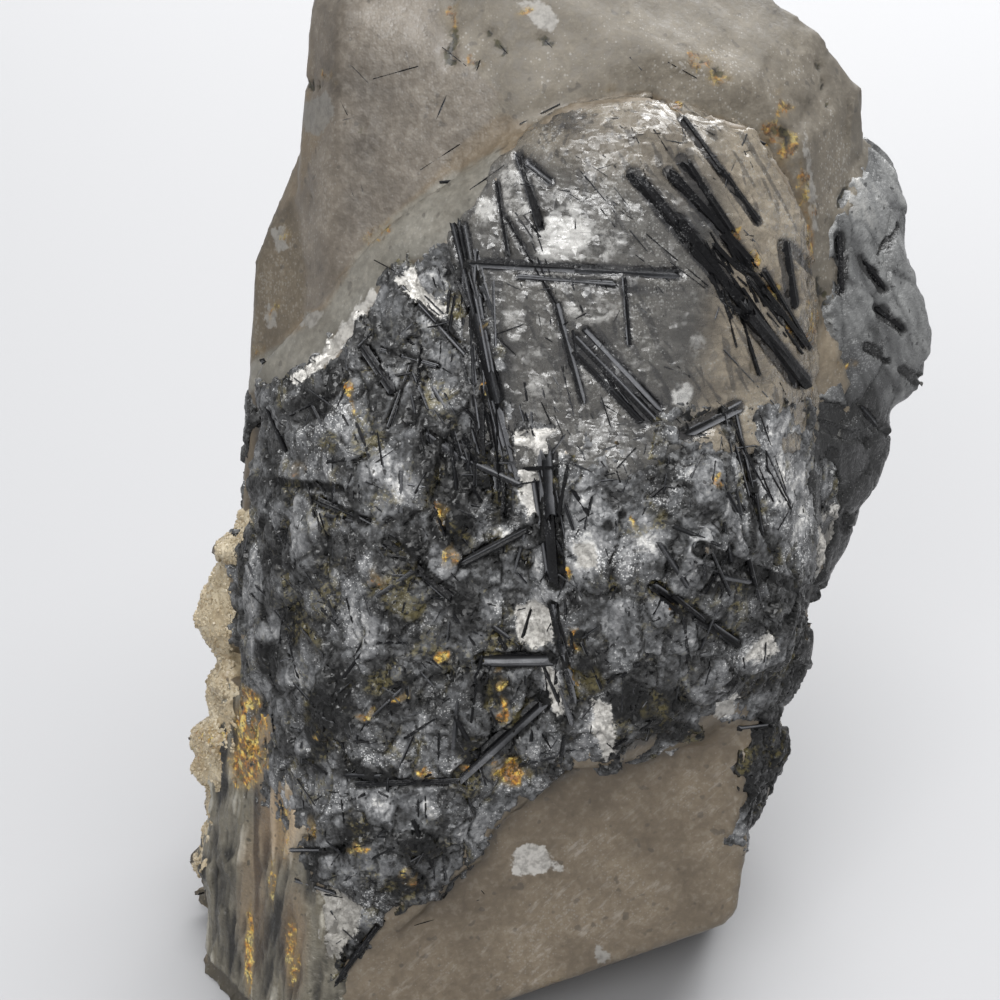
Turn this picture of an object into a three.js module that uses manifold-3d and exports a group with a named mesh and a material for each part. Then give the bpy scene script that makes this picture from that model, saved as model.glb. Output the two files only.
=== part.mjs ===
// Tourmalinated quartz point: a smoky quartz crystal with black tourmaline needles grown through it.
// Millimetres, +Z up. It stands on its flat broken base at z = 0, with its broad face towards -Y.

import * as THREE from "three";
import { ConvexGeometry } from "three/addons/geometries/ConvexGeometry.js";
import { ImprovedNoise } from "three/addons/math/ImprovedNoise.js";
import { TessellateModifier } from "three/addons/modifiers/TessellateModifier.js";
import { mergeVertices } from "three/addons/utils/BufferGeometryUtils.js";
import Module from "manifold-3d";

const wasm = await Module();
wasm.setup();

// Every corner is laid out on the broad face as it looks to an eye in front of it and above it:
// [across to the right, up, proud of the leaning middle plane], in mm, from the middle of the face.
const eyeRise = THREE.MathUtils.degToRad(30); // above the horizontal
const eyeDistance = 240; // to the middle of the face
const faceMiddle = new THREE.Vector3(0, -8, 60);
const lean = Math.tan(THREE.MathUtils.degToRad(15)); // the top of the face is nearer the eye
const toEye = new THREE.Vector3(0, -Math.cos(eyeRise), Math.sin(eyeRise));
const faceUp = new THREE.Vector3(0, Math.sin(eyeRise), Math.cos(eyeRise));
const faceRight = new THREE.Vector3(1, 0, 0);

function place([across, up, proud]) {
  const near = up * lean + proud;
  const shrink = (eyeDistance - near) / eyeDistance;
  return faceMiddle
    .clone()
    .addScaledVector(faceRight, across * shrink)
    .addScaledVector(faceUp, up * shrink)
    .addScaledVector(toEye, near);
}

// Solids and booleans
function solidFrom(geometry) {
  const bare = new THREE.BufferGeometry().setAttribute("position", geometry.getAttribute("position"));
  if (geometry.index) {
    bare.setIndex(geometry.index);
  }
  const merged = mergeVertices(bare, 1e-3);
  return new wasm.Manifold(
    new wasm.Mesh({
      numProp: 3,
      vertProperties: new Float32Array(merged.getAttribute("position").array),
      triVerts: new Uint32Array(merged.index.array),
    }),
  );
}

function geometryFrom(solid) {
  const mesh = solid.getMesh();
  return new THREE.BufferGeometry()
    .setAttribute("position", new THREE.BufferAttribute(mesh.vertProperties, 3))
    .setIndex(new THREE.BufferAttribute(mesh.triVerts, 1));
}

const join = (solids) => solids.reduce((whole, next) => whole.add(next));
const block = (...groups) => new ConvexGeometry(groups.flat().map(place));
const grain = new ImprovedNoise();

// Splits a block's faces into small ones and pushes their corners in and out, as on a broken surface.
function crumble(geometry, { facet, depth, wave, from = 1e3 }) {
  const split = new TessellateModifier(facet, 8).modify(geometry);
  const corners = split.getAttribute("position");
  const corner = new THREE.Vector3();
  for (let i = 0; i < corners.count; i++) {
    corner.fromBufferAttribute(corners, i);
    const near = corner.clone().sub(faceMiddle).dot(toEye);
    const share = THREE.MathUtils.clamp((from - near) / 8, 0, 1);
    const at = corner.clone().divideScalar(wave);
    corner.x += share * depth * grain.noise(at.x + 11.3, at.y, at.z);
    corner.y += share * depth * grain.noise(at.x, at.y + 7.9, at.z);
    corner.z += share * depth * grain.noise(at.x, at.y, at.z + 3.1);
    corners.setXYZ(i, corner.x, corner.y, corner.z);
  }
  return split;
}


// The host crystal: a smoky face at the upper left, a frosted one at the upper right, a plain back.
function hostCrystal() {
  const leftEdge = [
    [-18.8, 50, -9],
    [-18.8, 41, -9],
    [-19.6, 36, -9],
    [-20.4, 30, -9],
    [-20.6, 20, -9],
    [-22, 0, -10],
    [-24, -33, -12],
  ];
  const termination = [
    [-14, 58, -11],
    [-5, 65, -14],
    [5, 62, -14],
    [25, 50.5, -12],
    [30, 48.5, -12],
  ];
  const rightEdge = [
    [33, 45.5, -13],
    [36, 41.5, -14],
    [36.3, 36, -15],
    [34.4, 22, -15],
    [31, -5, -16],
    [26, -30, -14],
  ];
  const ridge = [
    [-2, 54, -2],
    [2, 40, 2.6],
    [5, 28, 3.4],
    [-16, 49, -4],
    [-17.6, 33, -4.4],
    [-18, 15, -4.6],
  ];
  const front = [
    [15, 45, 1],
    [25, 42, -1.8],
    [30.4, 35, -3.4],
    [31.6, 20, -4.4],
    [31, 4, -6],
    [-18, -34, 0],
    [20, -26, -2],
  ];
  const back = [
    [-13, 50, -28],
    [-2, 55, -31],
    [17, 47, -34],
    [27, 35, -35],
    [-18, 12, -37],
    [-24, -30, -40],
    [23, 5, -41],
    [20, -22, -42],
    [-22, -60, -58],
    [14, -60, -60],
  ];
  return crumble(block(leftEdge, termination, rightEdge, ridge, front, back), {
    facet: 15,
    depth: 2.2,
    wave: 9,
    from: -16,
  });
}

// A second crystal grown beside the host, whose edge shows as a dark strip at its left.
function leftFlank() {
  const edge = [
    [-19.6, 36, -12],
    [-22.8, 28.2, -13],
    [-24.4, 24.4, -13],
    [-24.7, 18, -13],
    [-24.6, 12.6, -12],
    [-25.2, 9, -12],
    [-25, 0, -12],
    [-27, -20, -14],
    [-28, -33, -16],
  ];
  const strip = [
    [-18.6, 33, -8],
    [-19.6, 22, -7],
    [-20, 12, -6],
    [-20, -20, -6],
  ];
  const back = [
    [-14, 38, -26],
    [-18.5, 24, -32],
    [-20, 5, -35],
    [-23, -33, -38],
    [-6, 30, -34],
    [-6, -30, -36],
  ];
  return block(edge, strip, back);
}

// Parallel growth steps on the plain back.
function backSteps() {
  const wide = [
    [-12, 44, -30],
    [0, 47, -34],
    [10, 40, -36],
    [12, 8, -42],
    [8, -30, -44],
    [-20, -34, -42],
    [-17, 10, -38],
    [-8, 40, -35],
    [0, 40, -38.5],
    [-10, 0, -43],
    [4, 0, -44.5],
    [-12, -34, -46],
    [0, -34, -47],
  ];
  const narrow = [
    [14, 30, -36],
    [21, 32, -37],
    [24, 20, -38],
    [22, -30, -44],
    [14, -32, -44],
    [12, 10, -40],
    [16, 24, -41],
    [20, 22, -41.5],
    [15, -26, -47],
    [19, -26, -47],
  ];
  return [wide, narrow].map((corners) => crumble(block(corners), { facet: 16, depth: 1, wave: 7 }));
}

// The clear lower part: one smooth face at the front and an undercut broken end.
function lowerQuartz() {
  const smooth = ([across, up]) => [across, up, 5 - 0.14 * across + 0.08 * up];
  const smoothFace = [
    [-15, -36],
    [-15.5, -48],
    [-16.5, -66],
    [27, -20],
    [25.4, -30],
    [23.2, -35],
    [24.4, -36.4],
    [23.7, -41],
    [22.4, -42.5],
    [19.7, -43.9],
    [13.4, -46.5],
    [7.3, -47.6],
    [1.6, -50.2],
  ].map(smooth);
  const leftSide = [
    [-19, -33, 2],
    [-19.5, -50, 2],
    [-19, -66, 1],
    [-27.4, -33, -13],
    [-29.2, -42, -15],
    [-30, -50, -16.5],
    [-29.6, -66, -18],
  ];
  const underside = [
    [-12, -66, 0],
    [1.4, -49.6, -60],
    [7, -47, -60],
    [12.6, -45.6, -60],
    [18, -42.8, -60],
    [20, -41, -60],
    [20, -36, -60],
    [-24, -64, -60],
  ];
  const inside = [
    [-24, -20, -30],
    [24, -16, -34],
  ];
  return block(smoothFace, leftSide, underside, inside);
}

// The front crystal, whose domed face and bevelled upper edges stand proud of the host.
function frontCrystal() {
  const rim = [
    [-24.8, 12.5, -5],
    [-22.8, 14.4, -3.6],
    [-20.4, 16.4, -2],
    [-17.4, 19.2, -0.6],
    [-14.8, 23.2, 0.4],
    [-12, 26.9, 1.4],
    [-8, 30, 2.4],
    [-2, 33.6, 3.6],
    [6, 39.4, 4.6],
    [14.4, 40.6, 4.6],
    [20, 39.2, 3.8],
    [25.4, 37.2, 2.4],
    [28.4, 33, 0.8],
    [30.4, 29, -0.4],
    [31.2, 24, -1.4],
    [31, 7, -3],
    [31.4, -8, -4],
    [29, -18, -4.4],
  ];
  const face = [
    [-20.6, 11.8, 0.6],
    [-16.4, 16.4, 3],
    [-12.8, 20.7, 4.6],
    [-6, 27, 6.6],
    [0, 31.5, 8],
    [8, 36, 9],
    [15, 36.8, 9],
    [21, 33, 8],
    [-1, 20, 10],
    [10, 18, 12.6],
    [21, 19, 10.4],
    [27, 22, 5.4],
    [27.5, 10, 6],
    [6, 4, 11],
    [17, 5, 12],
    [-16, 2, 6],
    [-14, -30, 4],
    [2, -20, 7],
    [20, -16, 6],
    [26, -10, 5],
  ];
  const inside = [
    [-18, 5, -14],
    [-14, -30, -12],
    [0, 30, -12],
    [26, 24, -16],
    [28, -12, -16],
    [6, -20, -12],
  ];
  return block(rim, face, inside);
}

// The two needle-filled bodies on the front crystal, with a valley between them.
function rightBody() {
  const rim = [
    [2, 10, 9],
    [8, 12, 11],
    [18, 10, 10.6],
    [27, 8, 5.6],
    [31.2, 5, -2],
    [31.8, -4, -4],
    [31.6, -11, -5],
    [30.4, -18, -4.5],
    [28.6, -21.5, -3],
    [24, -20.6, 2],
    [19, -23.2, 4.5],
    [14.5, -25.5, 6],
    [10.5, -27.2, 7],
    [8.6, -25.6, 7.4],
    [4.5, -27.5, 6.4],
  ];
  const face = [
    [6, 3, 12.6],
    [14, 4, 13.6],
    [21, 2, 12.4],
    [27, 0, 8],
    [8, -8, 13.4],
    [17, -6, 14],
    [24, -8, 10.6],
    [28.6, -8, 5],
    [6, -18, 11],
    [14, -18, 12.2],
    [21, -16, 10.2],
    [27.4, -15, 3.4],
    [11, -24, 9.6],
  ];
  const inside = [
    [3, 6, -6],
    [26, 4, -16],
    [27, -15, -16],
    [8, -22, -10],
  ];
  return crumble(block(rim, face, inside), { facet: 7.5, depth: 1.5, wave: 3.4 });
}

function leftBody() {
  const rim = [
    [-21.4, 11.6, 0],
    [-24.4, 6, -4.6],
    [-25, 0, -6],
    [-26, -8, -7],
    [-26.2, -19, -7.4],
    [-25.6, -27, -7],
    [-23, -33, -5],
    [-19.4, -40, -2],
    [-16.3, -48, 3.2],
    [-12, -42.8, 5],
    [-7.6, -40.2, 5.2],
    [-4.6, -38.6, 5.2],
    [0.7, -30.4, 4.6],
    [5, -27.8, 5],
  ];
  const face = [
    [-18, 14, 4],
    [-9, 18, 7.2],
    [-2, 14, 9.4],
    [-16, 6, 8.2],
    [-6, 6, 10.8],
    [-1.5, 0, 10.4],
    [-20, -4, 5.8],
    [-12, -6, 10.6],
    [-4, -10, 11],
    [-19, -17, 5],
    [-10, -20, 10],
    [-1, -20, 9.4],
    [-16, -30, 6.4],
    [-6, -31, 8.4],
    [-15, -38, 4.6],
  ];
  const inside = [
    [-14, 10, -14],
    [-20, -6, -18],
    [-18, -30, -16],
    [-4, -28, -10],
    [0, 10, -8],
    [-15, -42, -8],
  ];
  return crumble(block(rim, face, inside), { facet: 7.2, depth: 1.6, wave: 2.9 });
}

// A dark skin that runs down the right edge of the lower part.
function darkRim() {
  const skin = [
    [25, -20, 2],
    [28.6, -22, -4],
    [28.8, -25, -6],
    [27.2, -27, -6],
    [26.4, -30, -6],
    [25.2, -32.4, -6],
    [23.8, -34.3, -5],
    [22.8, -33.6, 0],
    [24, -28, 1],
    [27, -22, -16],
    [24, -32, -16],
  ];
  return crumble(block(skin), { facet: 5, depth: 0.8, wave: 2.2 });
}

// The stepped grey crystals that stand on the right side, from the top down.
function rightCluster() {
  const upper = [
    [33, 38.5, -14],
    [37.5, 35.6, -17],
    [39.8, 33, -18],
    [41.2, 28.8, -18],
    [40.4, 25.4, -17],
    [36, 21, -11],
    [32, 30, -6],
    [37.6, 29, -12],
    [31, 37, -34],
    [31.5, 32, -28],
    [32, 22, -30],
    [28, 30, -20],
  ];
  const middle = [
    [33, 23, -8],
    [39.8, 25.6, -15],
    [41.6, 21.4, -16],
    [43, 18.9, -17],
    [43.6, 15.8, -17],
    [42.4, 12.6, -16],
    [41, 10.6, -15],
    [38.4, 8.6, -12],
    [32.6, 10, -6],
    [34, 18, -6.4],
    [38.4, 17.4, -10.6],
    [32, 24, -34],
    [35, 22, -27],
    [35.5, 15, -27],
    [33, 8, -34],
    [28, 15, -20],
  ];
  const lower = [
    [32, 14, -6],
    [38.9, 8.6, -14],
    [39.1, 6.3, -15],
    [37.5, 4.9, -13],
    [37.7, 2.2, -14],
    [36.7, 0.3, -14],
    [35.6, -0.8, -12],
    [31, -3, -6],
    [31.4, 6, -5],
    [35.6, 6, -9],
    [31, 10, -34],
    [32.6, 4, -26],
    [30, -5, -34],
    [27, 2, -20],
  ];
  const foot = [
    [31, 1, -9],
    [35.9, -0.8, -16],
    [35.2, -2.4, -16],
    [33.2, -6.3, -16],
    [32.2, -9.2, -16],
    [30.4, -14, -13],
    [29.4, -4, -7],
    [32.6, -4, -11],
    [28, 0, -34],
    [30, -3, -26],
    [28, -14, -32],
    [25, -4, -20],
  ];
  return [upper, middle, lower, foot].map((corners, i) =>
    crumble(block(corners), { facet: [8, 8, 7, 7][i], depth: 0.9, wave: 2.6 }),
  );
}

// The pale crust on the left side, in three swellings.
function leftCrust() {
  const top = [
    [-25.4, -2.6, -9],
    [-28.2, -6.2, -12],
    [-30, -9.6, -14],
    [-30.6, -12.4, -14],
    [-28.4, -15.6, -12],
    [-25, -14, -7],
    [-24, -3, -26],
    [-27, -12, -28],
    [-24, -18, -28],
  ];
  const middle = [
    [-27, -17.6, -12],
    [-28, -20, -14],
    [-29.6, -24, -14],
    [-29.2, -27.6, -14],
    [-27.8, -31, -12],
    [-25, -27, -7],
    [-25, -18, -7],
    [-24, -17, -30],
    [-27, -24, -32],
    [-25, -32, -32],
  ];
  const foot = [
    [-27.8, -29, -12],
    [-29.2, -33, -14],
    [-29.4, -38, -15],
    [-28.8, -42.5, -14],
    [-25.4, -38, -7],
    [-24.4, -30, -6],
    [-25, -29, -34],
    [-27.4, -38, -38],
    [-26, -44, -40],
  ];
  return [top, middle, foot].map((corners) => crumble(block(corners), { facet: 7, depth: 0.8, wave: 2.1 }));
}

// Surface finding
function targetOf(solid) {
  const target = new THREE.Mesh(geometryFrom(solid).toNonIndexed(), new THREE.MeshBasicMaterial());
  target.updateMatrixWorld();
  return target;
}

function firstHit(target, origin, direction) {
  return new THREE.Raycaster(origin, direction.clone().normalize()).intersectObject(target)[0];
}

// Small six-sided points that cover the pale crust.
const crustPointTries = 46;

function crustPoints(solid) {
  const target = targetOf(solid);
  const random = THREE.MathUtils.seededRandom;
  random(7);
  const points = [];
  for (let i = 0; i < crustPointTries; i++) {
    const up = -4.5 - 38 * random();
    const depth = -10 - 20 * random();
    const hit = firstHit(target, place([-70, up, depth]), faceRight);
    if (!hit || hit.point.x > -23) {
      continue;
    }
    const radius = 0.9 + 0.9 * random();
    const height = radius * (1.1 + 0.9 * random());
    const tilt = new THREE.Vector3(random() - 0.5, random() - 0.5, random() - 0.2).multiplyScalar(0.9);
    const axis = hit.face.normal.clone().add(tilt).normalize();
    const turn = new THREE.Quaternion().setFromUnitVectors(new THREE.Vector3(0, 1, 0), axis);
    const corners = [new THREE.Vector3(0, height, 0)];
    for (let side = 0; side < 6; side++) {
      const x = radius * Math.cos((side * Math.PI) / 3);
      const z = radius * Math.sin((side * Math.PI) / 3);
      corners.push(new THREE.Vector3(x, height * 0.35, z), new THREE.Vector3(x, -1.2, z));
    }
    points.push(new ConvexGeometry(corners.map((c) => c.applyQuaternion(turn).add(hit.point))));
  }
  return points;
}

// Black needles: [from across, from up, to across, to up, thickness].
const domeNeedles = [
  [1.9, 34.4, 4, 27.4, 0.9],
  [2.8, 33.6, 5.1, 31.8, 0.9],
  [-4.5, 27.7, -2.3, 18.1, 1.1],
  [-3.6, 27.4, -0.9, 13, 0.9],
  [-2.6, 23.7, 17.8, 22.6, 0.9],
  [1.9, 22.3, 11.5, 21.6, 0.7],
  [12.4, 22.3, 12.9, 15.6, 0.8],
  [0.6, 28.3, 5.7, 19.4, 0.6],
  [5.7, 19.4, 8.3, 10, 0.7],
  [7.6, 16.2, 15.5, 8, 1],
  [8.6, 17, 15.9, 9.2, 0.8],
  [7.2, 15, 14.4, 7.6, 0.8],
  [13.4, 32.5, 30.4, 11.9, 1.4],
  [17.9, 27.7, 29.7, 12.1, 2.2],
  [16.9, 32.8, 24.9, 23.9, 1.1],
  [18.2, 34, 23, 26.7, 1.2],
  [22.3, 26.4, 30.4, 15.6, 0.9],
  [18.2, 38.2, 25.8, 27.8, 0.8],
  [28.7, 25.5, 31.5, 22.9, 1],
  [28.4, 25.5, 29.3, 19.7, 1.2],
];
const valleyNeedles = [
  [-2.3, 18.1, -0.3, 10, 1.3],
  [-0.3, 10, 0, 0, 1.3],
  [-1.6, 13, 1.2, 3, 0.9],
  [-3.9, 4.3, 2, 1.6, 0.9],
  [-3.9, -6.4, 2.8, -2.9, 0.8],
  [4.7, 4.3, 5.6, -8, 1.9],
  [3.6, 2, 5, -7.2, 1],
  [5.2, -10.5, 7.4, -20, 0.8],
  [-1.7, -16, 4.9, -15.9, 1.4],
];
const leftNeedles = [
  [-9.6, 21.3, -3.5, 14.6, 0.7],
  [-11.9, 15, -6.3, 13.4, 0.6],
  [-13.5, 15, -10.8, 11, 1],
  [-22.4, 1.9, -15.9, 1.1, 0.7],
  [-18.3, 0, -13.5, -2.1, 0.8],
  [-11.1, -4.3, -4.9, -9.6, 1.3],
  [-7.1, 6.4, -4.1, 4.3, 1.2],
  [-3.9, -27.5, 4.3, -20.1, 1.6],
  [-14.4, -28.4, -4.2, -28.1, 0.7],
  [-20.9, -35, -16, -35, 0.6],
  [-16.5, -48.4, -12.2, -42.6, 0.7],
];
const rightNeedles = [
  [15.4, -8.6, 23.7, -14.3, 1.1],
  [19.9, -4.8, 31, -9.2, 1.2],
  [18.6, 6.7, 23.7, 9.3, 1.4],
  [23.4, 9.3, 26.2, -3.2, 0.6],
  [24, -22.8, 26.6, -22.5, 0.8],
  [33.8, 26.4, 34.1, 21, 1],
  [36.2, 24, 38.4, 21.1, 0.8],
  [37.5, 19.2, 40.1, 17.2, 0.8],
  [36, 9.2, 37.5, 7.5, 1],
  [40.1, 13.1, 42.5, 11.4, 0.8],
];

// A six-sided bar laid along the surface, sunk in where it lies highest.
function needleBar(target, fromCorner, toCorner, thickness) {
  const eye = faceMiddle.clone().addScaledVector(toEye, eyeDistance);
  const stations = [0, 0.25, 0.5, 0.75, 1].map((along) => {
    const across = THREE.MathUtils.lerp(fromCorner[0], toCorner[0], along);
    const up = THREE.MathUtils.lerp(fromCorner[1], toCorner[1], along);
    const sight = place([across, up, 0]).sub(eye).normalize();
    const hit = firstHit(target, eye, sight);
    return { along, sight, reach: hit ? hit.distance : null };
  });
  const found = stations.filter(({ reach }) => reach !== null);
  const first = found[0];
  const last = found[found.length - 1];
  const slope = (last.reach - first.reach) / (last.along - first.along);
  const line = (along) => first.reach + slope * (along - first.along);
  const gaps = found.map(({ along, reach }) => line(along) - reach).sort((a, b) => a - b);
  const lift = Math.max(0, gaps[gaps.length - 2] - 0.4 * thickness);
  const end = ({ sight, along }) => eye.clone().addScaledVector(sight, line(along) - lift);
  const from = end(stations[0]);
  const to = end(stations[4]);
  const axis = to.clone().sub(from);
  const bar = new THREE.CylinderGeometry(thickness / 2, thickness / 2, axis.length() + 0.3, 6);
  const turn = new THREE.Quaternion().setFromUnitVectors(new THREE.Vector3(0, 1, 0), axis.normalize());
  bar.applyQuaternion(turn);
  return bar.translate(...from.add(to).multiplyScalar(0.5).toArray());
}

// A long needle follows the surface in straight lengths.
function needle(target, [fromAcross, fromUp, toAcross, toUp, thickness]) {
  const lengths = Math.ceil(Math.hypot(toAcross - fromAcross, toUp - fromUp) / 12);
  const cut = (i) => [
    THREE.MathUtils.lerp(fromAcross, toAcross, i / lengths),
    THREE.MathUtils.lerp(fromUp, toUp, i / lengths),
  ];
  return Array.from({ length: lengths }, (_, i) => needleBar(target, cut(i), cut(i + 1), thickness));
}

// Assembly
const floor = new THREE.BoxGeometry(400, 400, 200).translate(0, 0, -100);
const undercut = block(
  [12, -90].flatMap((proud) => [
    [60, -29.4, proud],
    [-30, -60.6, proud],
    [-30, -110, proud],
    [60, -110, proud],
  ]),
);
const crystals = [hostCrystal(), leftFlank(), ...backSteps(), lowerQuartz(), frontCrystal()];
const bodies = [...crystals, ...rightCluster(), rightBody(), leftBody(), darkRim(), ...leftCrust()];
const crusted = join(bodies.map(solidFrom));
const needled = targetOf(crusted);
const needles = [...domeNeedles, ...valleyNeedles, ...leftNeedles, ...rightNeedles];
const growths = [...crustPoints(crusted), ...needles.flatMap((row) => needle(needled, row))];
const grown = join([crusted, ...growths.map(solidFrom)])
  .subtract(solidFrom(floor))
  .subtract(solidFrom(undercut));
const withoutPockets = grown.decompose().sort((a, b) => b.volume() - a.volume())[0];
const whole = withoutPockets.simplify(0.05);

const stone = new THREE.Mesh(
  geometryFrom(whole),
  new THREE.MeshStandardMaterial({ color: 0x7d766c, roughness: 0.35, metalness: 0 }),
);
stone.name = "tourmalinated_quartz";
const specimen = new THREE.Group();
specimen.add(stone);

export default specimen;
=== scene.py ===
import functools
import math
import random

import bmesh
import bpy
import numpy as np
from mathutils import Matrix, Vector, noise
from mathutils.bvhtree import BVHTree
from mathutils.kdtree import KDTree


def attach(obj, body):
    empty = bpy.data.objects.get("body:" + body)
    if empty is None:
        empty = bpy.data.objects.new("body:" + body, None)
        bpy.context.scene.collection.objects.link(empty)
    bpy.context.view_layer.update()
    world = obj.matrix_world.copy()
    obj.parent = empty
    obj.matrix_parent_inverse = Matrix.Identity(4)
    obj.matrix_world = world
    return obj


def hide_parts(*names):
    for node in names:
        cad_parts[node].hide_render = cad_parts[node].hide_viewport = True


# Tourmalinated quartz point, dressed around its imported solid. Metres, +Z up.
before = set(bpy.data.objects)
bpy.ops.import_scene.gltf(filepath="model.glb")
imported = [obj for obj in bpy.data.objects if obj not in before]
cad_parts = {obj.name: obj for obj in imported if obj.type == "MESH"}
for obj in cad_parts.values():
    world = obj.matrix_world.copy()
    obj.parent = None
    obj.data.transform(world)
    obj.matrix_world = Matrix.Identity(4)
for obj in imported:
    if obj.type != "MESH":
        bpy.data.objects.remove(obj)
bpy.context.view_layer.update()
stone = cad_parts["tourmalinated_quartz"]
mm = 0.001

# The broad face, as it looks to an eye in front of it and above it
broadFace = {
    "rise": math.radians(30),
    "distance": 240 * mm,
    "middle": Vector((0, -8 * mm, 60 * mm)),
    "lean": math.tan(math.radians(15)),
}
toEye = Vector((0, -math.cos(broadFace["rise"]), math.sin(broadFace["rise"])))
faceUp = Vector((0, math.sin(broadFace["rise"]), math.cos(broadFace["rise"])))
faceRight = Vector((1, 0, 0))
eye = broadFace["middle"] + toEye * broadFace["distance"]


def facePoint(across, up):  # from mm on the broad face to a place in metres
    near = up * broadFace["lean"] * mm
    shrink = (broadFace["distance"] - near) / broadFace["distance"]
    flat = faceRight * (across * mm * shrink) + faceUp * (up * mm * shrink)
    return broadFace["middle"] + flat + toEye * near


def faceCoordinates(places):  # the other way round, for an array of places
    offset = places - np.array(eye)
    depth = -(offset @ np.array(toEye))
    distance = broadFace["distance"]
    across = offset @ np.array(faceRight) * distance / depth / mm
    up = offset @ np.array(faceUp) * distance / depth / mm
    return across, up, (distance - depth) / mm - broadFace["lean"] * up


# Camera, floor and lights
studio = {
    "focalLength": 86.4,
    "floorSize": 3.0,
    "floorColour": (0.280, 0.281, 0.288, 1),
    "worldColour": (0.97, 0.98, 1.0, 1),
    "worldStrength": 0.50,
    # name: place, what it points at, width, depth, watts
    "lamps": {
        "overhead": ((0.06, -0.08, 0.62), (0, 0, 0.06), 0.46, 0.36, 4.5),
        "backRight": ((0.40, 0.60, 0.55), (0.16, 0.36, 0), 0.50, 0.50, 4.6),
        "front": ((-0.20, -0.55, 0.46), (0, 0, 0.06), 0.30, 0.30, 3.6),
        "sweep": ((0, 0.62, 0.40), (0, 0.42, 0), 0.60, 0.30, 4.4),
    },
    "bounces": {"max": 8, "diffuse": 3, "glossy": 3, "transmission": 6},
}


def addObject(name, data):
    made = bpy.data.objects.new(name, data)
    bpy.context.scene.collection.objects.link(made)
    return made


def buildStudio():
    scene = bpy.context.scene
    camera = addObject("camera", bpy.data.cameras.new("camera"))
    camera.data.lens = studio["focalLength"]
    camera.data.sensor_width = 36
    camera.data.clip_start = 0.01
    turn = Matrix((faceRight, faceUp, toEye)).transposed().to_4x4()
    camera.matrix_world = Matrix.Translation(eye) @ turn
    scene.camera = camera

    half = studio["floorSize"] / 2
    corners = [(-half, -half, 0), (half, -half, 0), (half, half, 0), (-half, half, 0)]
    floor = meshObject("floor", corners, [(0, 1, 2, 3)])
    paper = newMaterial("paper")
    paper.give("Base Color", studio["floorColour"])
    paper.give("Roughness", 0.7)
    floor.data.materials.append(paper.material)

    for name, (place, target, width, depth, watts) in studio["lamps"].items():
        lamp = addObject(name, bpy.data.lights.new(name, "AREA"))
        lamp.data.shape = "RECTANGLE"
        lamp.data.size = width
        lamp.data.size_y = depth
        lamp.data.energy = watts
        lamp.location = place
        lamp.rotation_euler = (Vector(target) - Vector(place)).to_track_quat("-Z", "Y").to_euler()

    world = bpy.data.worlds.new("softRoom")
    world.use_nodes = True
    background = world.node_tree.nodes["Background"]
    background.inputs["Color"].default_value = studio["worldColour"]
    background.inputs["Strength"].default_value = studio["worldStrength"]
    scene.world = world
    scene.view_settings.view_transform = "Standard"
    for kind, most in studio["bounces"].items():
        setattr(scene.cycles, kind + "_bounces", most)
    scene.cycles.use_light_tree = False  # four lamps are quicker without it
    print("studio built")


# Meshes
def meshObject(name, verts, faces):
    mesh = bpy.data.meshes.new(name)
    mesh.from_pydata(verts, [], faces)
    mesh.update()
    return addObject(name, mesh)


def voxelCopy(name, source, voxel):
    made = addObject(name, source.data.copy())
    made.data.materials.clear()
    remesh = made.modifiers.new("remesh", "REMESH")
    remesh.mode = "VOXEL"
    remesh.voxel_size = voxel
    remesh.use_smooth_shade = True
    applyModifiers(made)
    return made


def applyModifiers(made):
    evaluated = made.evaluated_get(bpy.context.evaluated_depsgraph_get())
    fine = bpy.data.meshes.new_from_object(evaluated)
    made.modifiers.clear()
    made.data = fine


def readMesh(items, name, width, kind):  # one attribute of a mesh as an array
    values = np.empty(len(items) * width, kind)
    items.foreach_get(name, values)
    return values.reshape(-1, width)


def vertexPlaces(mesh):
    return readMesh(mesh.vertices, "co", 3, float)


def vertexNormals(mesh):
    return readMesh(mesh.vertex_normals, "vector", 3, np.float32).astype(float)


def edgeEnds(mesh):
    return readMesh(mesh.edges, "vertices", 2, int)


def movePlaces(mesh, places):
    mesh.vertices.foreach_set("co", places.ravel())
    mesh.update()


def keepFields(mesh, **fields):  # values that the materials read
    for name, values in fields.items():
        attribute = mesh.attributes.new(name, "FLOAT", "POINT")
        attribute.data.foreach_set("value", np.asarray(values, np.float32))


def finishPiece(piece, material):
    piece.data.materials.append(material)
    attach(piece, "root")
    print(piece.name + ":", len(piece.data.polygons), "faces")
    return piece


def fractal(places, size, octaves=3, shift=0.0):  # smooth noise for an array of places, size in mm
    scaled = places / (size * mm) + shift
    return np.array([noise.fractal(Vector(p), 0.9, 2.1, octaves) for p in scaled])


def smoothStep(values, low, high):
    share = np.clip((values - low) / (high - low), 0, 1)
    return share * share * (3 - 2 * share)


def relaxed(mesh, places, weight, rounds):  # irons lumps out where the weight is 1
    first, second = edgeEnds(mesh).T
    ends = np.concatenate((first, second))
    others = np.concatenate((second, first))
    neighbours = np.bincount(ends, minlength=len(places))
    for _ in range(rounds):
        sums = [np.bincount(ends, places[others, axis], len(places)) for axis in range(3)]
        mean = np.stack(sums, axis=1) / neighbours[:, None]
        places = places + weight[:, None] * (mean - places)
    return places


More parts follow.
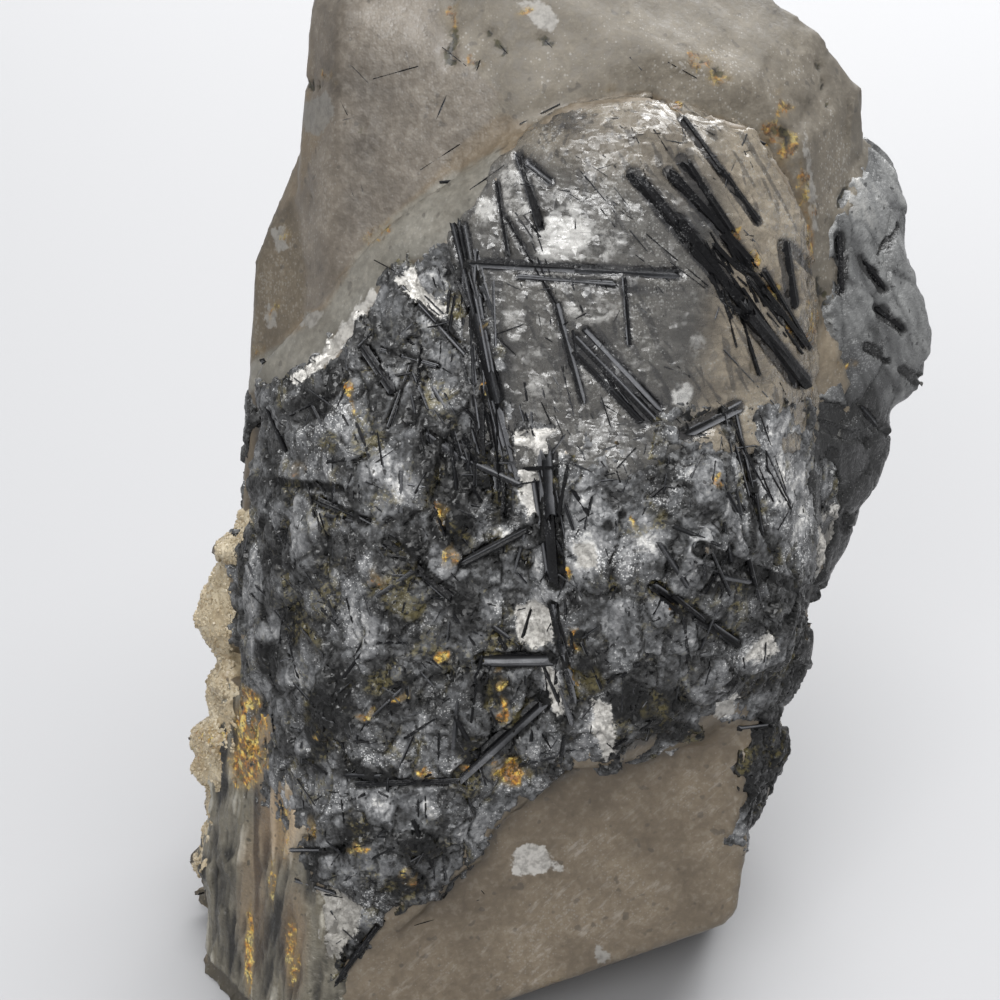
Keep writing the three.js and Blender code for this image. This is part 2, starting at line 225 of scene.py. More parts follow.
def brokenFacets(places, cell, seed):
    # each small cell is a facet of its own, tilted at random, with a crack round it
    low = places.min(axis=0)
    span = places.max(axis=0) - low
    draw = np.random.default_rng(seed)
    count = int(np.prod(span / mm + cell) / cell**3)
    seeds = low + draw.random((count, 3)) * span
    tilts = draw.normal(size=(count, 3))
    heights = draw.random(count) - 0.5
    tones = draw.random(count)
    tree = KDTree(count)
    for i, place in enumerate(seeds):
        tree.insert(place, i)
    tree.balance()
    owner = np.empty(len(places), int)
    crack = np.empty(len(places))
    for i, place in enumerate(places):
        (_, first, near), (_, _, far) = tree.find_n(place, 2)
        owner[i] = first
        crack[i] = (far - near) / mm
    lean = ((places - seeds[owner]) * tilts[owner]).sum(axis=1) / (cell * mm)
    return np.clip(0.7 * lean + heights[owner], -1, 1), crack / cell, tones[owner]


# Distances on the broad face, in mm
def segmentGap(across, up, x0, y0, x1, y1):
    length = max((x1 - x0) ** 2 + (y1 - y0) ** 2, 1e-9)
    along = np.clip(((across - x0) * (x1 - x0) + (up - y0) * (y1 - y0)) / length, 0, 1)
    return np.hypot(across - x0 - along * (x1 - x0), up - y0 - along * (y1 - y0))


def lineGap(across, up, lines):  # from the nearest of lines that have a thickness
    return np.minimum.reduce([segmentGap(across, up, *line[:4]) - line[4] / 2 for line in lines])


def zoneDepth(across, up, outline):  # positive inside
    corners = np.array(outline, float)
    inside = np.zeros(len(across), bool)
    nearest = np.full(len(across), 1e9)
    for (x0, y0), (x1, y1) in zip(corners, np.roll(corners, -1, axis=0)):
        rate = (x1 - x0) / (y1 - y0 if y1 != y0 else 1e-9)
        inside ^= ((y0 > up) != (y1 > up)) & (across < rate * (up - y0) + x0)
        nearest = np.minimum(nearest, segmentGap(across, up, x0, y0, x1, y1))
    return np.where(inside, nearest, -nearest)


def zoneField(depth):  # 0.5 on the edge of a zone, 4 mm to either side
    return np.clip(0.5 + depth / 8, 0, 1)


def spotted(across, up, spots):  # soft round spots, added up
    total = np.zeros(len(across))
    for x, y, reachX, reachY, strength in spots:
        gap = np.hypot((across - x) / reachX, (up - y) / reachY)
        total += strength * smoothStep(1.3 - gap, 0, 0.9)
    return total


# Outlines of the zones on the broad face, in mm
zones = {
    # the needle-filled rock, from the top of the left body round the right body to the foot
    "needleRock": [(-25.6, 11), (-20.6, 12), (-17.6, 14.4), (-15.6, 17), (-13, 20.6), (-10, 24), (-6, 25.4),
        (-3.2, 26), (-1, 20), (0.4, 12), (1.6, 7.4), (8.4, 7.2), (9, 4.6), (13, 6.4), (18, 9.6), (24, 9),
        (30.4, 9.8), (32.4, 4), (33.6, -6), (33, -16), (31, -20), (29.4, -25), (27.6, -30), (24.6, -35),
        (22.4, -34.6), (25.2, -30), (23.8, -26.6), (26, -22.4), (24, -20.6), (21.7, -22.1), (19.1, -23.2),
        (15.1, -24.9), (10.5, -26.9), (8.8, -25.5), (0.7, -30.1), (-1.6, -33.6), (-5, -39), (-8, -40),
        (-12.2, -42.6), (-16.5, -48.6), (-17.4, -44), (-18.6, -38), (-21, -33), (-23.4, -30), (-25, -24),
        (-26, -17), (-27, -10), (-26.6, -3)],
    # the domed face of the front crystal, down to where the rock begins
    "dome": [(-5, 26), (-1, 31.4), (0, 33.8), (3, 36.6), (6, 38.8), (14.4, 40.4), (20, 39), (25.4, 36.8),
        (28.4, 32), (30.6, 27), (31.4, 20), (31.4, 5), (24, 5), (18, 5.6), (13, 2.4), (9, 1.6), (8.4, 3.2),
        (-0.6, 3.4), (-2.6, 12), (-4, 20)],
    # smoky face at the top left, frosted face at the top right, and the pale ledge under both
    "smokyTop": [(-19, 56), (-6, 56), (-6, 48), (-3, 44), (0, 40.2), (-0.6, 38.4), (-6, 33.4), (-8.4, 30.4),
        (-12, 27.2), (-14.8, 23.8), (-17.8, 19.2), (-20, 19), (-19.4, 22), (-20.4, 30), (-17, 38),
        (-18.8, 40), (-18.8, 50)],
    "frost": [(-6, 56), (-6, 48), (-3, 44), (0, 40.2), (-0.6, 38.4), (4, 37.6), (8, 40), (14.4, 40.8),
        (20, 39.4), (25.4, 37.4), (28.6, 33), (31, 28), (32, 20), (32, 6), (46, 4), (50, 30), (44, 60),
        (20, 66)],
    "ledge": [(0, 35.4), (-8, 30.6), (-12, 27.4), (-14.8, 23.6), (-17.4, 19.4), (-20.4, 16.7),
        (-24.6, 14.4), (-26, 11), (-20.6, 11.6), (-17.7, 14), (-16.4, 16.2), (-14.2, 18.8), (-12.8, 20.5),
        (-10, 23.6), (-6, 24.8), (-3, 28.3), (0, 33)],
    "flankStrip": [(-20.6, 30.4), (-19.5, 22.6), (-19.8, 18.6), (-23, 15), (-25.6, 13.6), (-26, 20),
        (-25, 26)],
    "foot": [(0.7, -30.1), (8.8, -25.5), (19.1, -23.2), (30, -19), (30, -60), (-18, -60), (-15, -48.6),
        (-8, -40)],
    # the stepped side crystals
    "side": [(36.8, 35.8), (36, 32), (33.6, 26), (33.4, 18), (35, 12), (31.4, 9), (31.4, 0), (33, -5),
        (32.6, -12), (30, -16), (40, -16), (48, 0), (52, 20), (48, 35)],
    "beige": [(32.2, 20), (33.2, 18), (34, 14), (35.6, 9), (34, 7.4), (31, 8.6), (31.6, 14)],
    "crust": [(-25.4, -1.6), (-26.3, -5.1), (-26.9, -7.7), (-27.2, -11.5), (-27.1, -14.7), (-26.8, -19.1),
        (-27.2, -20.5), (-27, -24), (-27.8, -27), (-29.2, -31), (-29.6, -36), (-31, -38), (-42, -38),
        (-42, -2)],
    "banded": [(-26.8, -19), (-23.4, -22), (-22, -27), (-20.5, -33), (-18.6, -38), (-17.5, -44),
        (-15.6, -50), (-14, -60), (-44, -60), (-44, -30), (-29.4, -31), (-27.6, -26)],
}

# White and cream chips, cleaved faces and streaks: whiteness, outline
chips = [
    (1, [(1.3, -35), (2.8, -34.3), (4.5, -34.6), (5.6, -36.8), (3.5, -37.4), (1.4, -37.6)]),
    (0.7, [(5.2, -36.2), (6.4, -36.6), (6, -37.4)]),
    (0.3, [(9.4, -44.2), (11, -45.6), (10.6, -46.6), (9.6, -46)]),
    (0.12, [(-20.1, -40), (-17, -38.8), (-13.8, -40.5), (-14.2, -43), (-15.5, -44.5), (-17, -47),
        (-19.5, -46.6)]),
    (0.7, [(25.6, -14), (26.8, -13.2), (27.8, -15), (26, -15.9), (24.2, -16.1)]),
    (0.9, [(21.8, -20), (23, -18.8), (23.8, -19.5), (23.3, -21.4), (21.6, -21.9)]),
    (0.8, [(-10.2, 22), (-8.8, 23.4), (-8, 21.5), (-5.1, 19), (-6, 18.2), (-9.6, 21)]),
    (0.8, [(-12.8, 21.2), (-12.2, 20.8), (-15.2, 16.2), (-17.4, 13.6), (-20.2, 11.4), (-20.7, 11.9),
        (-18.2, 14.4), (-16.2, 17)]),
    (0.9, [(32.9, -0.4), (34.5, -0.6), (34.3, -1.5), (33.2, -1.3)]),
    (0.3, [(31.7, -1.3), (35.4, -1.5), (34.6, -5), (33, -10), (31.6, -8)]),
    (0.2, [(-23, 27), (-21.6, 27.4), (-21.2, 25.4), (-22.2, 24.6)]),
    (0.2, [(-23.4, 19.6), (-22.4, 19.4), (-22.2, 17.6), (-23.4, 17)]),
    (0.15, [(-19.4, 18.8), (-17.4, 19), (-18.6, 17.2), (-20, 17.4)]),
    (0.05, [(-19.8, 39.6), (-17.4, 40.8), (-16.4, 39), (-18, 36.4), (-19.6, 37)]),
    (0.75, [(1.4, 7), (8.2, 7.2), (8.3, 5.4), (6, 4.8), (4.5, 4.9), (4, 2), (3.5, -1), (2.8, -2), (2, 2),
        (1.6, 5)]),
    (0.4, [(1.5, -10.5), (3.5, -10), (5.2, -11.2), (5.3, -14), (3.5, -14.8), (1.8, -14)]),
    (0.5, [(4.2, -16), (5.6, -17.2), (6.5, -21.2), (5.6, -21.4), (4.6, -19)]),
    (0.5, [(9.2, -19.8), (11, -20.4), (11.6, -25), (10.4, -26), (9.5, -23)]),
    (0.3, [(7.4, -3.9), (9.6, -4.4), (9.9, -6.6), (8, -6.8)]),
    (0.25, [(12.4, 23.6), (14.4, 24), (15, 22.6), (13, 22.4)]),
    (0.45, [(1.6, 49.8), (4, 50), (5.8, 48.4), (5.6, 46.8), (4, 47), (3, 48)]),
    (0.4, [(-10, 44.9), (-9.4, 44.9), (-9.3, 44.1), (-9.9, 44)]),
    (0.3, [(30.2, 37.5), (31.2, 33.6), (31.8, 27), (31.4, 26.6), (30.6, 31)]),
]

# Black tourmaline needles: across and up at both ends, thickness, in mm
mainNeedles = [
    (1.9, 34.4, 4, 27.4, 0.9), (2.8, 33.6, 5.1, 31.8, 0.9), (-0.3, 31.8, 0.8, 24.5, 0.5),
    (-4.5, 27.7, -2.3, 18.1, 1.1), (-3.6, 27.4, -0.9, 13, 0.9), (-2.6, 23.7, 17.8, 22.6, 1),
    (1.9, 22.3, 11.5, 21.6, 0.6), (12.4, 22.3, 12.9, 15.6, 0.5), (0.6, 28.3, 5.7, 19.4, 0.5),
    (5.7, 19.4, 8.3, 10, 0.8), (7.6, 16.2, 15.5, 8, 1), (8.6, 17, 15.9, 9.2, 0.8),
    (7.2, 15, 14.4, 7.6, 0.8), (13.4, 32.5, 30.4, 11.9, 1.5), (17.9, 27.7, 29.7, 12.1, 1.8),
    (16.9, 32.8, 24.9, 23.9, 1.2), (18.2, 34, 23, 26.7, 1.3), (22.3, 26.4, 30.4, 15.6, 0.9),
    (26.5, 22.9, 31, 15.2, 0.5), (18.2, 38.2, 25.8, 27.8, 0.8), (28.7, 25.5, 31.5, 22.9, 1),
    (28.4, 25.5, 29.3, 19.7, 1.2), (-2.3, 18.1, -0.3, 10, 1.3), (-0.3, 10, 0, 0, 1.3),
    (-1.6, 13, 1.2, 3, 0.9), (-3.9, 4.3, 2, 1.6, 0.9), (-3.9, -6.4, 2.8, -2.9, 0.8),
    (4.7, 4.3, 5.6, -8, 1.9), (3.6, 2, 5, -7.2, 1), (5.2, -10.5, 7.4, -20, 0.8),
    (-1.7, -16, 4.9, -15.9, 1.4), (-9.6, 21.3, -3.5, 14.6, 0.6), (-11.9, 15, -6.3, 13.4, 0.5),
    (-9, 13.4, -11.1, 7.5, 0.5), (-13.5, 15, -10.8, 11, 1), (-22.4, 1.9, -15.9, 1.1, 0.6),
    (-18.3, 0, -13.5, -2.1, 0.8), (-11.1, -4.3, -4.9, -9.6, 1.3), (-7.1, 6.4, -4.1, 4.3, 1.2),
    (-3.9, -27.5, 4.3, -20.1, 1.7), (-14.4, -28.4, -4.2, -28.1, 0.6), (-20.9, -35, -16, -35, 0.5),
    (-20.4, -38, -16.5, -39.3, 0.5), (-16.5, -48.4, -12.2, -42.6, 0.6), (15.4, -8.6, 23.7, -14.3, 1.1),
    (19.9, -4.8, 31, -9.2, 1), (23.1, -4.8, 20.5, -9.2, 0.5), (18.6, 6.7, 23.7, 9.3, 1.4),
    (23.4, 9.3, 26.2, -3.2, 0.5), (24, -22.8, 26.6, -22.5, 0.7), (33.8, 26.4, 34.1, 21, 0.9),
    (36.2, 24, 38.4, 21.1, 0.8), (37.5, 19.2, 40.1, 17.2, 0.8), (36, 9.2, 37.5, 7.5, 1),
    (40.1, 13.1, 42.5, 11.4, 0.7),
]
# Hairs just under the clear faces, as thin as a thread
hairs = [
    (20.6, 39.1, 20.3, 37.2), (19.4, 37.5, 21.5, 36.5), (24.7, 36.6, 22.9, 32.5), (7, 30.6, 11.3, 27.7),
    (10.6, 30.4, 12.7, 28.8), (8.5, 32.4, 14.7, 24.9), (11.9, 29, 13.8, 27.7), (15.4, 37, 16.7, 35),
    (-6.8, 37, -5.2, 40.8), (-2, 44, -2.6, 42), (4.5, 46, 5.4, 45), (0, 45.5, 0.8, 44.6),
    (-8, 33, -4, 35.6), (-3, 31, 0.4, 33.4), (2, 37.6, 6, 39.6), (-16, 40, -15.2, 38.4),
    (-14, 32, -13.6, 30.4), (12, 37.4, 13.4, 36.2), (-9.4, 44.8, -9, 43.2), (-12.6, 24, -9.6, 22.4),
    (-1, 14, 1.4, 9), (5, 18, 7.4, 8.4), (9.6, 12, 11.2, 7), (14.6, 26.6, 20.8, 21.4), (17, 23.8, 24, 18.6),
    (12, 19, 9.4, 14), (22.4, 15, 27.4, 9.6), (26, 8.6, 28.6, 1), (-19, 6, -14, 4.4),
    (-22, -2, -20.4, -6.4), (-20.6, 12.2, -17, 9.6), (-19.6, -7, -17.4, -10.4),
]
# Pits and crevices in the pale faces, sunk in and painted near-black as shade, with olive dust
hollows = [
    (-4.6, 50, -4.8, 46.6, 0.15), (-4.8, 46.6, -5, 43.8, 0.6), (-2.4, 43.4, -2.1, 43, 0.3),
    (-0.9, 46.6, 0.5, 44.6, 0.4), (4.4, 46.2, 4.8, 45.9, 0.8), (20, 44.4, 22.2, 42.6, 0.3),
    (28.5, 37, 29, 35.4, 0.5), (26.4, 36, 26.9, 34.4, 0.5), (31.8, 43.8, 32.9, 39.6, 0.1),
    (34.8, 31.2, 34.2, 29.4, 0.5), (32, 21.8, 32.2, 19.4, 0.4), (-19.4, 41.6, -18.8, 41.2, 0.7),
    (31, 9.4, 34.4, 8.6, 0.9), (-14, 37.6, -14.1, 37, 0.1), (-19.2, 30.4, -19, 30, 0.1),
]


# The solid's own needles are ironed out this far round them, but not on the back, in mm
ironing = {"reach": 2.2, "deepest": -12, "farOff": 99.0}


def ironedOut(mesh, rounds):
    places = vertexPlaces(mesh)
    across, up, proud = faceCoordinates(places)
    gap = np.where(proud > ironing["deepest"], lineGap(across, up, mainNeedles), ironing["farOff"])
    places = relaxed(mesh, places, smoothStep(ironing["reach"] - gap, 0, 1), rounds)
    movePlaces(mesh, places)
    return places, gap


# grooves by the main needles, and the painted shade in them
def grooveAt(across, up):  # 1 along the main needles
    return smoothStep(0.24 - lineGap(across, up, mainNeedles), 0, 0.24)


def wandering(places, by, size, octaves, shift):  # face coordinates, bent by noise
    across, up = faceCoordinates(places)[:2]
    across = across + by * fractal(places, size, octaves, shift)
    return across, up + by * fractal(places, size, octaves, shift + 6)


def hollowShare(places):  # 1 in a pit
    return smoothStep(0.35 - lineGap(*wandering(places, 0.5, 0.9, 3, 31.0), hollows), 0, 0.5)


def chipDepth(across, up):  # depth in the chips, and how white the nearest one is
    depths = np.stack([zoneDepth(across, up, outline) for white, outline in chips])
    return depths.max(axis=0), np.array([white for white, outline in chips])[depths.argmax(axis=0)]


# Rust and sulphur-yellow stains: across, up, reach sideways, reach upright, strength
stains = [
    (27.4, 36.6, 1.4, 1.2, 1.3), (28.9, 35.2, 1.2, 1.7, 1.3), (28.4, 39.2, 0.9, 1.1, 1.1),
    (30.4, 31.4, 0.5, 2.6, 0.9), (31.1, 26, 0.5, 3, 0.8), (31, 18, 0.5, 3, 0.8), (20.4, 44, 1.5, 0.8, 0.8),
    (22, 42.4, 1.2, 1.3, 0.9), (28, 41, 0.9, 0.5, 0.6), (-4.8, 47.6, 0.5, 2.4, 0.9),
    (-2.5, 44, 0.8, 0.8, 1), (2.6, 48.6, 0.8, 0.8, 0.8), (10.4, 41, 1, 0.6, 0.5), (17.6, 39.4, 1, 0.5, 0.8),
    (-17.5, 42, 1, 0.6, 0.8), (30.9, 28.4, 0.4, 1.6, 0.8), (-13, 26.2, 1.6, 0.9, 0.6),
    (-11.4, 27.2, 0.8, 0.6, 0.6), (23.8, 26.2, 0.5, 1, 1), (25.2, 23.8, 0.6, 1.4, 1.1),
    (27.2, 20.6, 0.5, 1.6, 1.1), (29, 17.4, 0.5, 1.4, 0.9), (-22.8, 18.6, 0.6, 1.4, 0.9),
    (-21.4, 26.6, 0.5, 1, 0.7), (-7.2, -39.2, 0.6, 0.6, 1.2), (5.2, -49, 1.4, 1, 0.7),
    (-16.4, -46.8, 1, 0.8, 0.5), (31, 10.5, 0.5, 0.7, 1), (34.4, 13.5, 0.9, 0.7, 0.7),
    (-24.6, 15, 1, 1, 0.5),
]
rockStains = [
    (-15, 11.4, 0.35, 1.2, 1.2), (-14.8, 9.4, 0.5, 0.7, 0.9), (0, -18.2, 0.9, 0.9, 1.2),
    (-0.6, -16.4, 0.7, 0.5, 0.9), (0.2, -21, 0.8, 1.2, 1.1), (-13.2, -21.6, 1.2, 0.7, 0.8),
    (-10, -19.5, 1, 0.4, 0.7), (-5.8, -15.8, 0.8, 0.8, 1), (1, -27.2, 1.8, 1.2, 1.2),
    (-3.6, -26.8, 1, 0.6, 0.7), (7.3, 5.2, 0.5, 0.4, 0.9), (7.1, -7, 0.4, 1, 0.8), (7.4, -17.6, 0.35, 1, 1),
    (7.2, -13.6, 0.35, 1.2, 0.9), (-24.8, -20, 1.1, 1.6, 0.9), (-24.6, -24, 1.2, 2.2, 1.2),
    (-25.6, -27.6, 1, 1.4, 1.1), (-23.2, -25.6, 0.6, 1.2, 0.8), (-6, -1.6, 0.6, 1.6, 0.6),
    (-5, -5.6, 0.6, 1.2, 0.6), (11, 5.4, 0.9, 0.5, 0.7), (13.7, -2.4, 0.4, 0.6, 0.7),
    (-7.4, -27, 0.8, 0.5, 0.9), (-18, -23.6, 0.7, 0.5, 0.7), (-14, -34.6, 1.2, 0.8, 0.8),
    (-9, -37.6, 0.9, 0.6, 0.6), (17.4, -10.6, 0.4, 0.7, 0.7), (21.4, 2.2, 0.5, 0.7, 0.7),
    (-20, 3.4, 1, 0.8, 0.35), (-12, -8, 0.8, 1.4, 0.5), (-18.6, -33, 0.8, 1.4, 0.6),
    (31, -14.6, 0.6, 1.4, 0.6), (-1.4, 16, 0.3, 2.2, 1), (-1.1, 11, 0.3, 1.6, 0.8),
]


def ironShare(places, spots=stains):
    return np.clip(spotted(*wandering(places, 0.9, 1.6, 2, 21.0), spots), 0, 1)


# The quartz itself
quartz = {
    "voxel": 0.66 * mm,
    "wear": 0.10 * mm,  # how far the faces wander from flat
    "breakCell": 8.0,  # mm, size of the facets on the broken back
    "breakDepth": 0.8 * mm,
    "frostCell": 5.0,
    "frostDepth": 0.20 * mm,
    "underSkins": 0.65 * mm,  # how far it lies under the finer skins
    "grooveDepth": 0.25 * mm,
    "hollowDepth": 0.5 * mm,
    "flatBelow": 0.4 * mm,  # the base keeps the solid's flat
    "skinned": ("needleRock", "dome", "side", "crust", "banded"),
    "frontOnly": ("needleRock", "dome", "smokyTop", "foot", "banded", "crust"),
}


def facetRelief(facet, crack, depth, width):
    return facet - depth * (1 - smoothStep(crack, 0, width))


def buildQuartz():
    body = voxelCopy("quartz", stone, quartz["voxel"])
    mesh = body.data
    places, gap = ironedOut(mesh, 30)
    normals = vertexNormals(mesh)
    across, up = faceCoordinates(places)[:2]
    facing = normals @ np.array(toEye)
    turned = (facing + 0.12) * 12
    depths = {name: zoneDepth(across, up, outline) for name, outline in zones.items()}
    for name in quartz["frontOnly"]:
        depths[name] = np.minimum(depths[name], turned)
    covered = np.maximum.reduce([depths[name] for name in quartz["skinned"]])
    behind = smoothStep(-facing, 0.0, 0.35) * smoothStep(covered, 0, -2)
    facet, crack, tone = brokenFacets(places, quartz["breakCell"], 8)
    rough, roughCrack, _ = brokenFacets(places, quartz["frostCell"], 12)
    frosted = smoothStep(depths["frost"], -1, 2) * (1 - behind)
    hollow = hollowShare(places)
    relief = quartz["wear"] * fractal(places, 2.2)
    relief += quartz["breakDepth"] * behind * facetRelief(facet, crack, 0.5, 0.12)
    relief += quartz["frostDepth"] * frosted * facetRelief(rough, roughCrack, 0.3, 0.15)
    relief -= quartz["underSkins"] * smoothStep(covered, 0, 1.5)
    relief -= quartz["grooveDepth"] * smoothStep(0.3 - gap, 0, 0.3)
    relief -= quartz["hollowDepth"] * hollow
    relief[places[:, 2] < quartz["flatBelow"]] = 0
    movePlaces(mesh, places + normals * relief[:, None])
    for name in quartz["skinned"]:
        depths[name] = depths[name] - 0.8
    keepFields(mesh, **{name: zoneField(depth) for name, depth in depths.items()})
    chip, white = chipDepth(across, up)
    keepFields(mesh, behind=behind * (0.3 + 0.7 * tone), chip=zoneField(np.minimum(chip, turned)),
               white=white, iron=ironShare(places), hollow=hollow)
    finishPiece(body, smokyQuartz())
    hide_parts("tourmalinated_quartz")
    return body


# Finer skins over zones of the body, which sink into it along their edges
skinStyle = {
    "voxel": 1.05 * mm,
    "levels": 2,
    "margin": 2,  # mm outside the zone
    "lowest": 0.8 * mm,
    "hidden": 5.0 * mm,  # behind what the eye sees
    "hem": 0.8,  # mm wide
    "tuck": 0.8 * mm,
}


def treeOf(*pieces):
    verts = []
    faces = []
    for piece in pieces:
        start = len(verts)
        verts.extend(v.co.copy() for v in piece.data.vertices)
        faces.extend([start + i for i in p.vertices] for p in piece.data.polygons)
    return BVHTree.FromPolygons(verts, faces)


solidTree = treeOf(stone)


def seenFromEye(place):
    sight = Vector(place) - eye
    hit = solidTree.ray_cast(eye, sight.normalized())
    return hit[3] is None or hit[3] > sight.length - skinStyle["hidden"]


def zoneSkin(name, zone, behind):
    skin = voxelCopy(name, stone, skinStyle["voxel"])
    places = ironedOut(skin.data, 12)[0]
    keep = zoneDepth(*faceCoordinates(places)[:2], zones[zone]) > -skinStyle["margin"]
    keep &= places[:, 2] > skinStyle["lowest"]
    if not behind:
        keep &= np.array([kept and seenFromEye(place) for kept, place in zip(keep, places)])
    grid = bmesh.new()
    grid.from_mesh(skin.data)
    bmesh.ops.delete(grid, geom=[v for v, kept in zip(grid.verts, keep) if not kept], context="VERTS")
    grid.to_mesh(skin.data)
    grid.free()
    fine = skin.modifiers.new("fine", "SUBSURF")
    fine.levels = skinStyle["levels"]
    fine.render_levels = skinStyle["levels"]
    applyModifiers(skin)
    return skin


def hemShare(mesh, places, depth, wander):  # 1 on the skin, falling to 0 along its ragged edge
    uses = np.bincount(readMesh(mesh.loops, "edge_index", 1, int)[:, 0], minlength=len(mesh.edges))
    rim = np.unique(edgeEnds(mesh)[uses == 1])
    tree = KDTree(len(rim))
    for i in rim:
        tree.insert(places[i], int(i))
    tree.balance()
    away = np.array([tree.find(place)[2] for place in places]) / mm
    return smoothStep(np.minimum(depth + 1.0 + 0.9 * wander, away - 0.3), 0.0, skinStyle["hem"])


def startSkin(name, zone, noiseSize, ragged=1.0, behind=False):
    skin = zoneSkin(name, zone, behind)
    places = vertexPlaces(skin.data)
    across, up = faceCoordinates(places)[:2]
    wander = fractal(places, noiseSize)
    hem = hemShare(skin.data, places, zoneDepth(across, up, zones[zone]), ragged * wander)
    return skin, places, across, up, wander, hem


def finishSkin(skin, height, hem, material, slot, **fields):
    mesh = skin.data
    keepFields(mesh, **fields)
    shift = height * hem - skinStyle["tuck"] * (1 - hem)
    movePlaces(mesh, vertexPlaces(mesh) + vertexNormals(mesh) * shift[:, None])
    return finishPiece(skin, material)


# The needle-filled rock
rockStyle = {
    "coarseCell": 4.4,
    "coarseDepth": 0.50 * mm,
    "fineCell": 1.5,
    "fineDepth": 0.22 * mm,
    "bend": 0.9 * mm,
    "grain": 0.09 * mm,
    "crack": 0.25 * mm,
    "lift": 0.28 * mm,
    "groove": 0.3 * mm,
    "chip": 0.2 * mm,
    # lighter and darker places, the darker ones along the lower lip of the rock being painted shade under
    # it: across, up, reach sideways, reach upright, strength
    "tones": [
        (-8, -33, 9, 5, 0.07), (26, -6, 8, 10, 0.05), (28.6, -15, 2.4, 6, -0.16), (-13, -18, 7, 7, -0.07),
        (-16, 2, 8, 8, 0.05), (-11.6, 1.4, 3.4, 3, 0.16), (-15.2, -9.6, 3, 2.4, 0.24),
        (-14.4, -13.4, 3.4, 2.6, 0.22), (-21, 9, 3, 2.4, 0.04), (-22.6, -12.6, 1.2, 2, 0.22),
        (-9.5, 12, 2.4, 2, 0.12), (-20, -18, 3, 3, 0.08), (-12, -24, 3, 2.6, 0.12),
        (-8, -22.4, 2, 1.6, 0.16), (-12, -30.4, 3, 2, 0.1), (-17, -25, 1.4, 2.4, 0.12),
        (-3, -31.4, 2.4, 1.6, 0.1), (4.6, 5.6, 3, 1.5, 0.75), (2.6, 1.6, 1, 3.2, 0.6),
        (3.3, -12.2, 1.7, 2.3, 0.5), (0.2, -3.2, 0.9, 0.8, 0.6), (-0.8, -9, 1.2, 2.4, 0.2),
        (5.2, -18.4, 1, 2.6, 0.5), (10.2, -22.4, 1.2, 3, 0.5), (8.8, -5.2, 1.4, 2.6, 0.4),
        (9, 1.6, 1.8, 3.4, 0.22), (13, -3, 4.6, 5, 0.1), (17, -4, 6, 2.4, 0.16), (12, -13, 4, 3, 0.1),
        (20, 3, 3.4, 3.4, 0.16), (23.4, 1.6, 1.2, 4.6, 0.2), (28, 2, 3.6, 7, 0.16), (25, -15.6, 2, 2, 0.3),
        (22.8, -20.4, 1.2, 1.6, 0.55), (26.4, -20, 2.4, 1.4, 0.2), (-5.4, 8, 1.6, 3, -0.06),
        (-2.2, 22, 1.2, 3, -0.1), (-5.6, 3.3, 3, 4, -0.3), (-4.9, -2.6, 2.2, 2.2, -0.55),
        (-1.6, 6, 1.6, 6, -0.35), (0.4, 2, 1.4, 5, -0.4), (2.6, -6.3, 0.7, 0.7, -0.9),
        (7.9, -13.6, 0.7, 0.6, -0.9), (9.4, -17.2, 0.7, 0.8, -0.9), (15, -20.6, 4.6, 1.8, -0.45),
        (17.4, -23, 3.4, 1, -0.5), (24, -8, 5, 1.2, -0.3), (22, 8.4, 4, 1, -0.35),
        (25.2, 1, 0.5, 5.4, -0.6), (30.6, -12, 1.4, 3, -0.3), (26.6, -27.4, 3.2, 6.5, -0.7),
        (-17.8, 9.6, 1.6, 1.8, -0.25), (-23.4, -16, 1.8, 2.4, -0.3), (-16.6, -20.4, 1, 1.4, -0.3),
        (-17.8, -22.6, 1.4, 3.4, -0.4), (-13, -27.4, 3, 0.7, -0.5), (-3, -24.6, 2, 1.2, -0.35),
        (-8, -34.6, 2.4, 1.6, -0.35), (-14.6, -33.6, 2, 1.6, -0.25), (-0.6, -19, 1.8, 2.6, -0.35),
        (-3.6, -11, 2, 2.4, -0.25), (-20.6, -12.6, 1, 4, -0.15), (-18.6, -35.6, 1.4, 2.4, -0.2),
        (-9.6, -38.4, 2.4, 1.2, -0.35), (-13.4, -44.6, 1.6, 2.4, -0.3), (12.2, 6.2, 1.8, 0.8, -0.3),
        (10.8, -2.4, 0.6, 0.6, -0.5), (12.2, -1.4, 0.5, 0.5, -0.5), (18.6, 1.6, 1, 0.5, -0.4),
    ],
    # olive and yellow dust in the clefts
    "moss": [
        (-13, 6, 2, 3, 0.5), (-9.6, -8, 2.4, 4, 0.4), (-18, -9, 2, 3, 0.35), (-5, -14, 3, 3, 0.5),
        (-10, -18, 3, 2, 0.4), (0, -14, 2, 4, 0.4), (-2, -27, 4, 2.4, 0.5), (-14, -36, 4, 3, 0.4),
        (9, 5, 2.4, 1.6, 0.4), (-18, -28, 2.4, 3, 0.3), (-11, -1, 2.4, 2.4, 0.3), (21, 2, 1.4, 1.4, 0.3),
    ],
    # smooth blades with few cells
    "blades": [(23.9, 11), (30, 8.5), (31.4, -6), (26.6, -3.4)],
}


def cells(places, style, seed, crackWidth, fineShare):  # coarse cells with finer ones in them
    coarse, coarseCrack, coarseTone = brokenFacets(places, style["coarseCell"], seed)
    fine, fineCrack, fineTone = brokenFacets(places, style["fineCell"], seed + 1)
    shallow = 1 - fineShare + fineShare * smoothStep(fineCrack, 0, 0.2)
    crack = np.minimum(smoothStep(coarseCrack, 0, crackWidth), shallow)
    return coarse, fine, crack, coarseTone - 0.5, fineTone - 0.5


